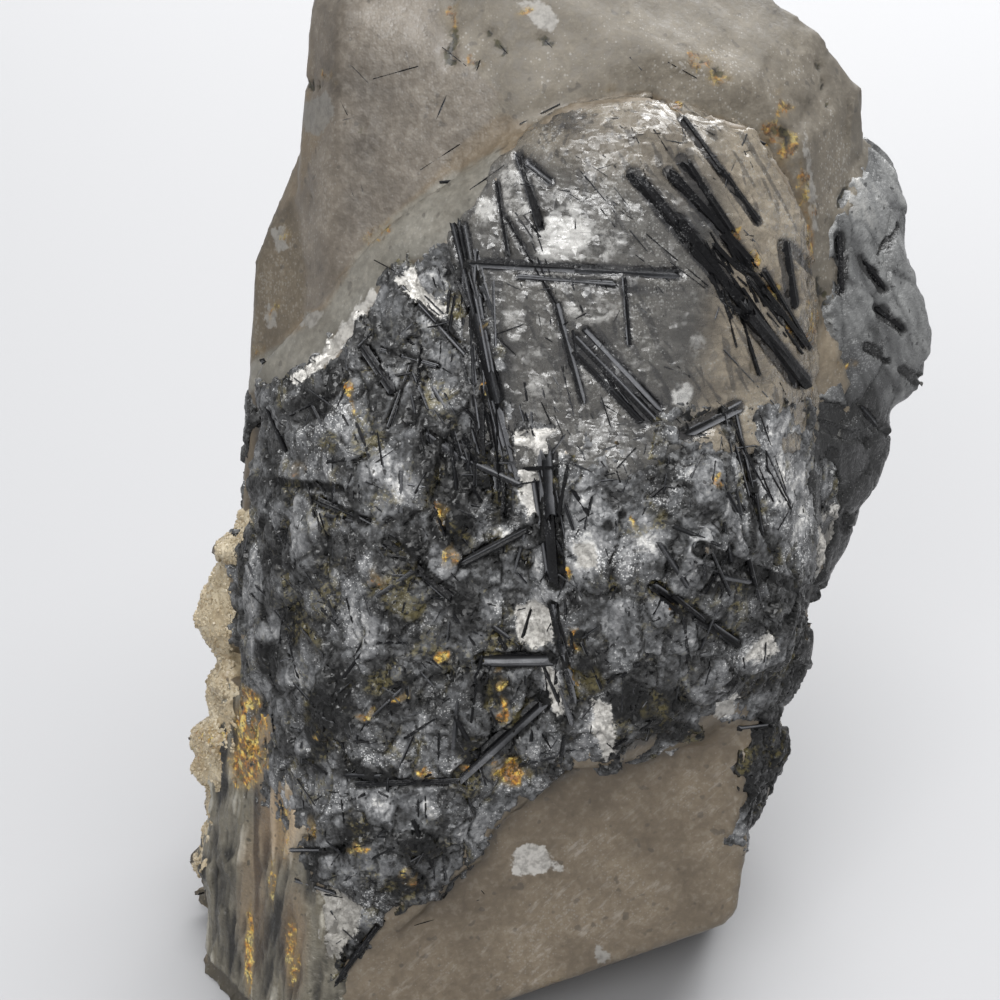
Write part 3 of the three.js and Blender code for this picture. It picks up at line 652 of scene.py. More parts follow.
def buildRock():
    style = rockStyle
    skin, places, across, up, wander, hem = startSkin("needle_rock", "needleRock", 1.8)
    bent = [fractal(places, 3.0, 2, shift) for shift in (5.0, 9.0, 13.0)]
    stretched = places * np.array((1, 1, 0.65)) + style["bend"] * np.stack(bent, axis=1)
    coarse, fine, crack, coarseTone, fineTone = cells(stretched, style, 3, 0.12, 0.5)
    smooth = smoothStep(zoneDepth(across, up, style["blades"]) + wander, -0.5, 0.8)
    crack = np.maximum(crack, smooth)
    groove = grooveAt(across, up)
    chip, white = chipDepth(across, up)
    height = style["coarseDepth"] * coarse + style["grain"] * fractal(places, 0.35, 2, 3.0)
    height += (1 - smooth) * style["fineDepth"] * fine + style["lift"]
    height -= (1 - crack) * style["crack"] + style["groove"] * groove
    height -= style["chip"] * smoothStep(chip, -0.2, 0.3)
    tone = 0.37 + 0.24 * coarseTone + (1 - smooth) * 0.16 * fineTone
    tone += 0.14 * wander + 0.26 * bent[0] + 1.15 * spotted(across, up, style["tones"])
    # painted shade: the tone is darkened in the cracks between the cells and along the needle grooves
    tone = np.clip(tone * (0.5 + 0.5 * crack), 0, 1) * (1 - 0.9 * groove)
    moss = smoothStep(bent[1] + 0.4 * (1 - crack) + spotted(across, up, style["moss"]), 0.25, 0.8)
    return finishSkin(skin, height, hem, needleRock(), "tourmaline", moss=moss, white=white, tone=tone,
                      chip=zoneField(chip), iron=ironShare(places, rockStains))


# The domed face: clear growth terraces over needles
domeStyle = {
    "terrace": 1.5,  # mm between the growth lines
    "terraceDepth": 0.10 * mm,
    "lift": 0.12 * mm,
    "groove": 0.22 * mm,
    # painted highlights: silvery spots where the needles lie under the clear face
    "silver": [
        (1.6, 31, 2.4, 3.6, 0.8), (6, 27, 3, 4, 0.8), (10, 25.6, 4, 2.6, 0.55), (4.4, 22.4, 2, 3, 0.4),
        (8.6, 18.6, 3, 1.6, 0.7), (5.6, 16.4, 1.2, 1.4, 0.5), (11.4, 19.6, 2.4, 1.4, 0.4),
        (14.6, 16, 3.4, 1.4, 0.5), (19.8, 15.6, 1.2, 2.4, 0.5), (3.4, 13, 2.4, 3.4, 0.55),
        (8.8, 13, 1.2, 2.4, 0.5), (18.2, 10.6, 1.2, 1.6, 1), (4, 9, 2.4, 1.6, 0.4),
        (13.2, 13.4, 2.2, 2, 0.35), (-1.4, 29, 1.2, 1.6, 0.8), (9, 31.6, 2.4, 1.2, 0.2),
        (19.8, 20.6, 1.4, 1.2, 0.4), (22.6, 31, 1.4, 1, 0.2), (6.4, 10.6, 1.4, 1.6, 0.5),
        (1.4, 17.6, 1.4, 2.4, 0.5), (11.6, 11.4, 1.2, 1.4, 0.4), (15.4, 11.6, 1.2, 1, 0.4),
    ],
    "dark": [
        (6, 38, 4, 1.4, 0.6), (10, 36.4, 4, 1.2, 0.35), (3, 33.6, 2.4, 1, 0.3), (15, 21, 4, 1, 0.35),
        (20, 17, 3, 2.4, 0.25), (11, 15.6, 1.6, 2.6, 0.3), (6.4, 13, 1, 3.6, 0.3),
        (21.6, 11, 2.4, 1.4, 0.4), (14.6, 9.4, 2, 1.4, 0.3), (-0.6, 21, 1.2, 6, 0.4),
        (0.6, 13.6, 1.2, 4, 0.45), (16, 27, 1.6, 3.6, 0.2), (25, 12.4, 2.4, 1.6, 0.4), (8, 9, 2, 1.4, 0.2),
        (11, 21, 5.6, 0.6, 0.3),
    ],
}


def buildDome():
    style = domeStyle
    skin, places, across, up, wander, hem = startSkin("dome", "dome", 2.6, 0.5)
    rung = (up + 0.12 * across + 1.3 * wander) / style["terrace"]
    tread = rung - np.floor(rung)
    terrace = np.where(tread < 0.8, tread / 0.8, (1 - tread) / 0.2) - 0.5
    facet, _, tone = brokenFacets(places * np.array((0.7, 1, 1)), 1.6, 14)
    groove = grooveAt(across, up)
    height = style["lift"] + style["terraceDepth"] * (terrace + 0.6 * facet) - style["groove"] * groove
    rim = 0.6 * smoothStep(up + 0.25 * across, 32, 40) + smoothStep(across - 0.15 * up, 16, 21)
    # the dark field holds dark spots and painted shade along the needle grooves; the silvery spots are
    # painted highlights
    return finishSkin(skin, height, hem, needledQuartz(), "quartz",
                      silver=spotted(across, up, style["silver"]) * (0.55 + 0.9 * tone),
                      dark=spotted(across, up, style["dark"]) + 0.8 * groove + 0.15 * (tone - 0.5),
                      rim=np.clip(rim, 0, 1), iron=ironShare(places))


# The stepped side crystals, blocky and grey
sideStyle = {
    "coarseCell": 6.4,
    "coarseDepth": 0.5 * mm,
    "fineCell": 2.6,
    "fineDepth": 0.10 * mm,
    "lift": 0.2 * mm,
    "crack": 0.10 * mm,
    "slotDepth": 0.5 * mm,
    # slots between the steps, sunk in and painted dark as shade: both ends, thickness
    "slots": [
        (33.8, 26, 34, 21.6, 0.5), (36.4, 24.4, 38.2, 21.6, 0.3), (38.2, 19, 40.4, 17, 0.4),
        (36.4, 15.6, 38.6, 13.8, 0.2), (40.2, 13, 42, 12, 0.5), (36.2, 9.6, 39.4, 5.6, 0.2),
        (34.6, 30.6, 33.8, 29, 0.4), (30.8, 9.6, 35, 8.4, 1.4), (31, 7.6, 36.6, 6, 0.9),
        (32.8, 4.6, 34.6, -2.6, 0.9), (35, -6, 37.4, -3, 0.4), (38, 24.6, 39.6, 27.4, 0.1),
    ],
}


def buildSide():
    style = sideStyle
    skin, places, across, up, wander, hem = startSkin("side_crystals", "side", 2.0, behind=True)
    slant = places @ np.array(((0.8, 0.2, -0.6), (0, 1, 0), (0.5, 0.1, 0.5)))
    coarse, fine, crack, coarseTone, fineTone = cells(slant, style, 5, 0.1, 0.4)
    height = style["coarseDepth"] * coarse + style["fineDepth"] * fine + style["lift"]
    height -= (1 - crack) * style["crack"]
    streak = fractal(places * np.array((1, 1, 0.35)), 1.8, 3, 7.0)
    tone = 0.43 + 0.16 * coarseTone + 0.08 * fineTone + 0.16 * streak
    tone -= 0.48 * smoothStep(-up, -14, -3)
    tone -= 0.25 * smoothStep(fractal(places, 2.4, 3, 17.0), 0.1, 0.5) * smoothStep(-up, -16, -6)
    slot = smoothStep(0.3 - lineGap(across, up, style["slots"]) - 0.45 * wander, 0, 0.3)
    groove = np.maximum(0.5 * grooveAt(across, up), slot)
    # painted shade: darker in the slots and along the needle grooves
    tone -= 0.9 * groove
    height -= style["slotDepth"] * groove
    # painted shade: the tone is also darkened in the cracks between the cells
    return finishSkin(skin, height, hem, sideQuartz(), "quartz", iron=ironShare(places),
                      tone=np.clip(tone * (0.8 + 0.2 * crack), 0, 1))


# The banded lower left side: fibrous, in upright ribs
bandedStyle = {
    "ribDepth": 0.35 * mm,
    "lift": 0.2 * mm,
    # lighter and darker, brown and rusty places
    "tones": [
        (-27.8, -26, 0.8, 5, -0.4), (-24.2, -34, 0.4, 7, -0.3), (-21.5, -32, 2.2, 4, 0.14),
        (-26.2, -33, 1, 4.5, 0.08), (-20.6, -46, 1, 5, -0.3), (-27, -39, 1.2, 8, -0.1),
        (-29.8, -36, 0.5, 6, -0.3), (-22.4, -41, 1, 4, -0.12), (-28.6, -47, 0.8, 3, 0.14),
        (-25.6, -24, 1.4, 3, -0.2), (-18.4, -36, 0.8, 4, -0.25), (-30.4, -44, 1.2, 6, 0.06),
    ],
    "warm": [
        (-21.8, -32, 2.6, 4.6, 0.8), (-24.6, -40, 1.6, 8, 0.5), (-20.4, -44, 1.4, 6, 0.6),
        (-24, -25, 2.2, 4, 0.7),
    ],
    "rust": [
        (-21.4, -33, 0.9, 4, 0.5), (-24.9, -45, 0.5, 5, 1.1), (-22.6, -38, 0.5, 3, 0.6),
        (-24.8, -22, 1.9, 2.6, 1.2), (-25.2, -26.4, 1.8, 2.6, 1.3), (-20.6, -45, 0.8, 4, 0.7),
        (-30, -44, 0.5, 4, 0.4),
    ],
}


def buildBanded():
    style = bandedStyle
    skin, places, across, up, _, hem = startSkin("banded_side", "banded", 1.8)
    ribs = fractal(places * np.array((1, 1, 0.14)), 1.1, 4, 2.0)
    return finishSkin(skin, style["lift"] + style["ribDepth"] * ribs, hem, bandedQuartz(), "quartz",
                      ribs=0.5 + 0.5 * ribs + spotted(across, up, style["tones"]) / 0.35,
                      warm=np.clip(spotted(across, up, style["warm"]), 0, 1),
                      iron=np.clip(spotted(across, up, style["rust"]), 0, 1))


# The beige crust: a plate of sugar-fine quartz points
druse = {
    "count": 3600,
    "seed": 31,
    "radius": (0.10, 0.26),
    "height": (0.5, 1.0),  # of the radius
    "cell": 3.0,
    "depth": 0.24 * mm,
    "lift": 0.2 * mm,
    "grain": 0.12 * mm,
    "rust": [(-29, -24, 2, 3, 0.5), (-26.6, -26, 1.4, 4, 0.7), (-27.4, -14, 2, 1, 0.4)],
}


def buildCrust():
    skin, places, across, up, wander, hem = startSkin("crust", "crust", 1.6, behind=True)
    coarse, _, tone = brokenFacets(places, druse["cell"], 9)
    height = druse["lift"] + druse["depth"] * coarse + druse["grain"] * fractal(places, 0.5, 2)
    finishSkin(skin, height, hem, druseQuartz(), "druse", tone=0.5 + 0.3 * (tone - 0.5) + 0.3 * wander,
               iron=np.clip(spotted(across, up, druse["rust"]), 0, 1))

    draw = random.Random(druse["seed"])
    spots = [p for p in skin.data.polygons if min(hem[i] for i in p.vertices) > 0.8]
    verts = []
    faces = []
    for _ in range(druse["count"]):
        spot = draw.choice(spots)
        radius = draw.uniform(*druse["radius"]) * mm
        height = radius * draw.uniform(*druse["height"])
        axis = spot.normal + Vector([draw.gauss(0, 0.5) for _ in range(3)])
        turn = axis.to_track_quat("Z", "Y")
        spin = draw.uniform(0, math.tau)
        low = range(len(verts), len(verts) + 6)
        high = range(len(verts) + 6, len(verts) + 12)
        for level in (-0.6, 0.3):
            for side in range(6):
                angle = spin + math.tau * side / 6
                corner = Vector((math.cos(angle) * radius, math.sin(angle) * radius, height * level))
                verts.append(spot.center + turn @ corner)
        tip = Vector((draw.uniform(-0.3, 0.3) * radius, draw.uniform(-0.3, 0.3) * radius, height))
        verts.append(spot.center + turn @ tip)
        for side in range(6):
            after = (side + 1) % 6
            faces.append((low[side], low[after], high[after], high[side]))
            faces.append((high[side], high[after], high[5] + 1))
        faces.append(tuple(reversed(low)))
    points = meshObject("druse", verts, faces)
    tops = vertexPlaces(points.data)
    keepFields(points.data, tone=0.55 + 0.3 * fractal(tops, 2.0), iron=np.zeros(len(tops)))
    finishPiece(points, druseQuartz())


# Needles: ribbed bars, joined in one mesh for each kind
needleStyle = {
    "seed": 11,
    "ribs": 12,
    "ribDepth": 0.30,
    "lengthOfOneBar": 12,  # mm; longer needles follow the surface in straight lengths
    "sink": 0.30,
    "farthest": 275 * mm,  # from the eye
    "steepest": 1.2,
    "mostGap": 0.9 * mm,  # a strewn needle is left out where more of it would hang free
}


class Bars:  # collects ribbed bars for one mesh
    def __init__(self, seed):
        self.draw = random.Random(seed)
        self.verts = []
        self.faces = []
        self.tones = []

    def add(self, start, end, thickness, ribs, taper=1.0, pale=1.0):
        axis = end - start
        length = axis.length
        if length < 1e-6:
            return
        turn = axis.to_track_quat("Z", "Y")
        draw = self.draw
        spin = draw.uniform(0, math.tau)
        depths = [needleStyle["ribDepth"] * (i % 2) * draw.uniform(0.3, 1.3) for i in range(ribs)]
        tones = [draw.random() ** 2 for _ in range(ribs)]
        first = len(self.verts)
        rings = (0.0, 0.34, 0.68, 1.0) if ribs > 6 else (0.0, 1.0)
        for share in rings:
            narrow = (1 - (1 - taper) * share) * draw.uniform(0.93, 1.05)
            broken = share in (0.0, 1.0)
            for i in range(ribs):
                angle = spin + math.tau * i / ribs
                reach = thickness / 2 * (1 - depths[i]) * narrow
                ragged = draw.uniform(-0.5, 0.5) * thickness if broken else 0
                corner = Vector((math.cos(angle) * reach, math.sin(angle) * reach, length * share + ragged))
                self.verts.append(start + turn @ corner)
                self.tones.append(tones[i] * draw.uniform(0.7, 1.0) * pale)
        for ring in range(len(rings) - 1):
            for i in range(ribs):
                a = first + ring * ribs + i
                b = first + ring * ribs + (i + 1) % ribs
                self.faces.append((a, b, b + ribs, a + ribs))
        last = len(self.verts) - ribs
        self.faces.append(tuple(first + i for i in reversed(range(ribs))))
        self.faces.append(tuple(last + i for i in range(ribs)))

    def addSeated(self, tree, ends, thickness, sinkShare, ribs, strict=False, **look):
        seated = seatedBar(tree, ends, thickness, sinkShare, strict)
        if seated:
            self.add(*seated, thickness * mm, ribs, **look)

    def finish(self, name):
        piece = meshObject(name, self.verts, self.faces)
        keepFields(piece.data, tone=self.tones)
        return finishPiece(piece, schorl())


def seatedBar(tree, ends, thickness, sinkShare, strict):
    # a straight bar along the surface, sunk in where it lies highest
    x0, y0, x1, y1 = ends
    found = []
    sights = []
    for along in (0, 0.25, 0.5, 0.75, 1):
        sight = (facePoint(x0 + (x1 - x0) * along, y0 + (y1 - y0) * along) - eye).normalized()
        sights.append((along, sight))
        reach = tree.ray_cast(eye, sight)[3]
        if reach is not None and reach < needleStyle["farthest"]:
            found.append((along, reach))
    if len(found) < (5 if strict else 2):
        return None
    (a0, r0), (a1, r1) = found[0], found[-1]
    slope = (r1 - r0) / (a1 - a0)
    if abs(slope) > needleStyle["steepest"] * math.hypot(x1 - x0, y1 - y0) * mm:
        return None
    gaps = sorted(r0 + slope * (a - a0) - r for a, r in found)
    if strict and gaps[-1] - gaps[0] > needleStyle["mostGap"] + thickness * mm:
        return None
    lift = max(0, gaps[-2] if len(gaps) > 2 else gaps[-1])
    sink = sinkShare * thickness * mm
    places = [eye + sight * (r0 + slope * (along - a0) - lift + sink) for along, sight in sights]
    return places[0], places[-1]


# Bundles of needles side by side: the middle one's ends, spread across, how many, thinnest and thickest
bundles = [
    (-3.6, 26.6, -1.2, 12, 1.5, 9, 0.25, 0.7), (-2.4, 17, 0, 2, 1.6, 10, 0.25, 0.8),
    (-4.6, 9, -1.8, 2, 1.4, 5, 0.3, 0.7), (17, 30, 29.6, 12.6, 1.6, 10, 0.2, 0.6),
    (21, 27, 30.6, 14, 1.4, 7, 0.2, 0.5), (8, 16.4, 15.4, 8, 1.3, 8, 0.2, 0.5),
    (5.6, 19.6, 8.6, 8.6, 1, 5, 0.2, 0.4), (5, 4, 5.9, -8, 1.2, 6, 0.25, 0.6),
    (6, -9, 8, -21, 0.9, 5, 0.3, 0.6), (3, 12, 4.6, 6, 1.8, 5, 0.2, 0.4),
    (19, -5.4, 30, -10, 1.8, 6, 0.3, 0.7), (16, -9.6, 23, -14, 1, 3, 0.3, 0.6),
    (22.6, 9.6, 25.6, -3, 0.9, 4, 0.2, 0.4), (1, 30, 5.6, 20, 1.4, 5, 0.2, 0.4),
    (25, 7, 29, -4, 1.5, 4, 0.2, 0.4), (-8, 12.4, -4.4, 7, 1.2, 4, 0.2, 0.5),
    (-10, 22, -4, 16, 1.2, 4, 0.2, 0.4), (-1, -12, 2.4, -16, 1.4, 4, 0.3, 0.6),
]


def bundleShade(across, up):  # the bundle at the right of the dome is the blackest
    return 0.35 if across > 20 and up > 10 else 1.3


def partOf(line, a, b, sideA=0.0, sideB=0.0):  # from share a to share b of a line, moved sideways
    x0, y0, x1, y1 = line[:4]
    length = math.hypot(x1 - x0, y1 - y0)
    sideX, sideY = -(y1 - y0) / length, (x1 - x0) / length
    return (x0 + (x1 - x0) * a + sideX * sideA, y0 + (y1 - y0) * a + sideY * sideA,
            x0 + (x1 - x0) * b + sideX * sideB, y0 + (y1 - y0) * b + sideY * sideB)


def buildNeedles(tree):
    bars = Bars(needleStyle["seed"])
    for line in mainNeedles:
        x0, y0, x1, y1, thickness = line
        count = math.ceil(math.hypot(x1 - x0, y1 - y0) / needleStyle["lengthOfOneBar"])
        for i in range(count):
            bars.addSeated(tree, partOf(line, i / count, (i + 1) / count), thickness,
                           needleStyle["sink"], needleStyle["ribs"], pale=bundleShade(x1, y1))
    draw = bars.draw
    for line in bundles:
        x0, y0, x1, y1, spread, count, thin, thick = line
        for _ in range(count):
            off = draw.gauss(0, spread * 0.6)
            turn = draw.gauss(0, 0.05) * math.hypot(x1 - x0, y1 - y0)
            a = draw.uniform(0, 0.55)
            b = a + draw.uniform(0.2, 0.5)
            bars.addSeated(tree, partOf(line, a, b, off, off + turn), draw.uniform(thin, thick), 0.25, 8,
                           True, pale=bundleShade(x1, y1))
    bars.finish("needles")


# Small needles strewn through the rock
strewn = {
    "count": 900,
    "seed": 23,
    "across": (-27, 34),
    "up": (-48, 27),
    # share, mean angle in degrees from straight right, spread
    "directions": ((0.34, 100, 16), (0.28, -42, 16), (0.14, 8, 12), (0.24, 50, 50)),
}


def buildStrewnNeedles(tree):
    bars = Bars(strewn["seed"])
    draw = bars.draw
    for _ in range(strewn["count"]):
        x = draw.uniform(*strewn["across"])
        y = draw.uniform(*strewn["up"])
        for share, mean, spread in strewn["directions"]:
            if draw.random() < share:
                break
        angle = math.radians(draw.gauss(mean, spread))
        length = min(0.7 + draw.expovariate(0.7), 5)
        thickness = 0.10 + 0.10 * length * draw.uniform(0.4, 1.3)
        tilt = toEye * draw.uniform(-0.04, 0.04) * length * mm
        taper = draw.uniform(0.5, 1.0)
        dx, dy = math.cos(angle) * length / 2, math.sin(angle) * length / 2
        spine = np.array((x - dx, x, x + dx)), np.array((y - dy, y, y + dy))
        if zoneDepth(*spine, zones["needleRock"]).min() < 0.6:
            continue
        seated = seatedBar(tree, (x - dx, y - dy, x + dx, y + dy), thickness, 0.2, True)
        if seated:
            bars.add(seated[0] - tilt, seated[1] + tilt, thickness * mm, 5, taper)
    bars.finish("strewn_needles")


# More hairs at random
moreHairs = {
    "seed": 41,
    "zones": {"dome": 150, "smokyTop": 22, "frost": 16, "foot": 10},
    "lowest": -48,
    "highest": 50,
    "angles": (-50, -45, 100, 5),
    "spread": 14,
    "thickness": (0.08, 0.2),
}


def buildHairs(tree):
    bars = Bars(moreHairs["seed"])
    draw = bars.draw
    lines = list(hairs)
    for zone, count in moreHairs["zones"].items():
        outline = zones[zone]
        wide, tall = zip(*outline)
        for _ in range(count):
            x = draw.uniform(min(wide), max(wide))
            y = draw.uniform(max(min(tall), moreHairs["lowest"]), min(max(tall), moreHairs["highest"]))
            angle = math.radians(draw.choice(moreHairs["angles"]) + draw.gauss(0, moreHairs["spread"]))
            length = min(0.8 + draw.expovariate(0.6), 5)
            x1, y1 = x + math.cos(angle) * length, y + math.sin(angle) * length
            if zoneDepth(np.array((x, x1)), np.array((y, y1)), outline).min() > 0.5:
                lines.append((x, y, x1, y1))
    for line in lines:
        bars.addSeated(tree, line, draw.uniform(*moreHairs["thickness"]), 0.45, 5)
    bars.finish("hairs")


# Needles in patches on the sides and the back
backNeedles = {"tries": 1400, "seed": 77, "patch": 26 * mm, "threshold": 0.12, "mostGap": 0.8 * mm}


def buildBackNeedles(body):
    bars = Bars(backNeedles["seed"])
    draw = bars.draw
    away = [p for p in body.data.polygons if p.normal.dot(toEye) < -0.25 and p.center.z > 3 * mm]
    skin = treeOf(body)
    for _ in range(backNeedles["tries"]):
        spot = draw.choice(away)
        lean = draw.gauss(0.9, 0.35) + (1.6 if draw.random() < 0.3 else 0)
        length = min(1.2 + draw.expovariate(0.4), 9) * mm
        thickness = (0.12 + 0.09 * length / mm * draw.uniform(0.5, 1.4)) * mm
        if noise.noise(spot.center / backNeedles["patch"] + Vector((3, 1, 7))) < backNeedles["threshold"]:
            continue
        sideways = Vector((0, 0, 1)).cross(spot.normal)
        if sideways.length < 0.2:
            continue
        upward = spot.normal.cross(sideways.normalized())
        along = (sideways.normalized() * math.cos(lean) + upward * math.sin(lean)) * length / 2
        middle = spot.center - spot.normal * thickness * 0.1
        gaps = [skin.find_nearest(middle + side * along)[3] for side in (-1, 1)]
        if max(gaps) < backNeedles["mostGap"]:
            bars.add(middle - along, middle + along, thickness, 7, draw.uniform(0.7, 1.0))
    bars.finish("back_needles")


# Shader nodes
class Look:  # the nodes of one material or group
    def __init__(self, tree):
        self.nodes = tree.nodes
        self.links = tree.links

    def join(self, value, socket):
        if isinstance(value, bpy.types.NodeSocket):
            self.links.new(value, socket)
        else:
            socket.default_value = value

    def joinAll(self, node, *values):
        for socket, value in zip(node.inputs, values):
            self.join(value, socket)
        return node.outputs

    def add(self, kind, **values):
        node = self.nodes.new("ShaderNode" + kind)
        for key, value in values.items():
            if key in node.inputs:
                self.join(value, node.inputs[key])
            else:
                setattr(node, key, value)
        return node

    def place(self):
        return self.add("TexCoord").outputs["Object"]

    def field(self, name):
        return self.add("Attribute", attribute_name=name).outputs["Fac"]

    def maths(self, operation, *values):
        return self.joinAll(self.add("Math", operation=operation), *values)[0]

    def vector(self, operation, *values):
        return self.joinAll(self.add("VectorMath", operation=operation), *values)

    def times(self, first, second):
        return self.maths("MULTIPLY", first, second)

    def sway(self, value, by, share):  # a value, moved up and down by noise
        return self.maths("MULTIPLY_ADD", self.maths("SUBTRACT", by, 0.5), share, value)

    def span(self, value, low, high, toLow=0.0, toHigh=1.0):  # smooth step between two values
        node = self.add("MapRange", interpolation_type="SMOOTHSTEP")
        return self.joinAll(node, value, low, high, toLow, toHigh)["Result"]

    def mix(self, share, first, second, blend="MIX"):
        node = self.add("Mix", data_type="RGBA", blend_type=blend)
        for i, value in ((0, share), (6, first), (7, second)):
            self.join((*value, 1) if isinstance(value, tuple) else value, node.inputs[i])
        return node.outputs[2]

    def cover(self, share, colour, strength=None):
        share = self.times(share, strength) if strength else share
        self.colour = self.mix(share, self.colour, colour)

    def ramp(self, value, *stops):
        node = self.add("ValToRGB", Fac=value)
        elements = node.color_ramp.elements
        while len(elements) < len(stops):
            elements.new(0.5)
        for element, (place, colour) in zip(elements, stops):
            element.position = place
            element.color = (*colour, 1)
        return node.outputs["Color"]

    def noise(self, place, scale, detail, roughness):
        node = self.add("TexNoise", Vector=place, Scale=scale, Detail=detail, Roughness=roughness)
        return node.outputs["Fac"]

    def streaks(self, degrees, squeeze, scale, detail=2.0):  # noise drawn out along one direction
        mapping = self.add("Mapping", vector_type="TEXTURE", Vector=self.place(),
                           Rotation=(0, math.radians(degrees), 0), Scale=[1 / share for share in squeeze])
        return self.noise(mapping.outputs["Vector"], scale, detail, 0.65)

    def group(self, maker, **values):
        shared = bpy.data.node_groups.get(maker.__name__) or maker()
        node = self.add("Group", node_tree=shared)
        for label, value in values.items():
            self.join(value, node.inputs[label])
        return node.outputs

    def zone(self, name, noise, reach, soft=0.4):
        return self.group(raggedZone, Field=self.field(name), Noise=noise, Reach=reach, Soft=soft)["Mask"]

    def chip(self):  # white and cream chips with ragged edges
        mask = self.zone("chip", self.grain, 1.2, 0.15)
        pale = self.mix(self.field("white"), (0.24, 0.228, 0.205), (0.72, 0.70, 0.66))
        # painted shade: grey patches from the grain stand for the shaded facets of the chips
        shaded = self.mix(self.span(self.grain, 0.62, 0.34, 0.0, 0.55), pale, (0.14, 0.13, 0.115))
        self.cover(mask, shaded, 0.88)

    def stain(self):
        iron = self.field("iron")
        self.colour = self.group(ironStain, Colour=self.colour, Field=iron, Grain=self.grain)["Colour"]

    def give(self, label, value):
        self.join(value, self.shader.inputs[label])

    def finish(self, roughness, *heights):  # heights in metres, each with its share
        if isinstance(roughness, tuple):
            roughness = self.span(self.grain, 0.35, 0.65, *roughness)
        total = 0.0
        for height, share in heights:
            total = self.maths("MULTIPLY_ADD", height, share, total)
        bump = self.add("Bump", Strength=1.0, Distance=1.0, Height=total)
        self.give("Base Color", self.colour)
        self.give("Roughness", roughness)
        self.give("Normal", bump.outputs["Normal"])
        return self.material


def newMaterial(name, grainScale=None):
    material = bpy.data.materials.new(name)
    material.use_nodes = True
    look = Look(material.node_tree)
    look.material = material
    look.shader = look.nodes["Principled BSDF"]
    if grainScale:
        look.cloud, look.grain, look.speck, look.pit = look.group(stoneGrainAndPaintedLight, Scale=grainScale)
    return look


def newGroup(name, inputs, outputs):
    group = bpy.data.node_groups.new(name, "ShaderNodeTree")
    for way, labels in (("INPUT", inputs), ("OUTPUT", outputs)):
        for label in labels:
            kind = "NodeSocketColor" if label == "Colour" else "NodeSocketFloat"
            socket = group.interface.new_socket(label, in_out=way, socket_type=kind)
            if way == "INPUT":
                socket.default_value = inputs[label]
    look = Look(group)
    return group, look, look.nodes.new("NodeGroupInput").outputs, look.nodes.new("NodeGroupOutput").inputs


def stoneGrainAndPaintedLight():  # the cloudiness and grain of the stone, with bright specks as painted glints and dark pits as painted shade
    group, look, given, out = newGroup("stoneGrainAndPaintedLight", {"Scale": 100.0}, ("Cloud", "Grain", "PaintedGlint", "PitShade"))
    scaled = look.add("VectorMath", operation="SCALE", Scale=given["Scale"])
    coord = look.joinAll(scaled, look.place())[0]
    cloud = look.noise(coord, 1.0, 4.0, 0.62)
    cells = look.add("TexVoronoi", Vector=coord, Scale=34.0).outputs
    parted = look.add("SeparateColor", Color=cells["Color"]).outputs
    near = look.maths("MULTIPLY_ADD", cells["Distance"], -0.8, parted[0])
    look.join(cloud, out["Cloud"])
    look.join(look.noise(coord, 11.0, 2.0, 0.7), out["Grain"])
    # painted glints: bright specks where the cloud and the cells peak; painted shade: dark pits where a
    # noise dips
    look.join(look.span(look.maths("MULTIPLY_ADD", cloud, 2.2, near), 1.72, 1.92), out["PaintedGlint"])
    look.join(look.span(look.noise(coord, 7.3, 1.0, 0.5), 0.33, 0.27), out["PitShade"])
    return group


def facetGlitter():  # small flat facets, each tilted its own way
    group, look, given, out = newGroup("facetGlitter", {"Scale": 2000.0, "Tilt": 0.5}, ("Height", "Tone"))
    place = look.place()
    cells = look.add("TexVoronoi", Vector=place, Scale=given["Scale"]).outputs
    offset = look.vector("SUBTRACT", place, cells["Position"])[0]
    lean = look.vector("SUBTRACT", cells["Color"], (0.5, 0.5, 0.5))[0]
    slope = look.vector("DOT_PRODUCT", offset, lean)["Value"]
    look.join(look.times(slope, given["Tilt"]), out["Height"])
    look.join(look.add("SeparateColor", Color=cells["Color"]).outputs[0], out["Tone"])
    return group


def raggedZone():  # a zone's mask, with a ragged edge
    inputs = {"Field": 0.0, "Noise": 0.5, "Reach": 3.0, "Soft": 0.4}
    group, look, given, out = newGroup("raggedZone", inputs, ("Mask",))
    depth = look.times(look.maths("SUBTRACT", given["Field"], 0.5), 8.0)
    shift = look.times(look.maths("SUBTRACT", given["Noise"], 0.5), given["Reach"])
    total = look.maths("ADD", look.maths("ADD", depth, shift), given["Soft"])
    share = look.maths("DIVIDE", total, look.times(given["Soft"], 2.0))
    look.join(look.span(share, 0.0, 1.0), out["Mask"])
    return group


def ironStain():  # rust in the cracks, ochre and sulphur yellow round it
    inputs = {"Colour": (0.5, 0.5, 0.5, 1), "Field": 0.0, "Grain": 0.5}
    group, look, given, out = newGroup("ironStain", inputs, ("Colour",))
    reach = look.sway(given["Field"], look.noise(look.place(), 900.0, 3.0, 0.8), 3.0)
    mask = look.times(look.span(reach, 0.45, 1.0, 0.0, 0.92), look.span(given["Field"], 0.0, 0.2))
    rust = look.ramp(look.noise(look.place(), 620.0, 2.0, 0.8), (0.30, (0.10, 0.085, 0.03)),
                     (0.42, (0.25, 0.095, 0.02)), (0.50, (0.50, 0.27, 0.04)), (0.58, (0.60, 0.45, 0.12)),
                     (0.70, (0.42, 0.37, 0.17)))
    rust = look.mix(look.times(look.span(given["Grain"], 0.58, 0.40), 0.85), rust, (0.035, 0.028, 0.014))
    halo = look.span(given["Field"], 0.0, 0.9, 0.0, 0.4)
    hazy = look.mix(halo, given["Colour"], (0.26, 0.18, 0.075))
    look.join(look.mix(mask, hazy, rust), out["Colour"])
    return group


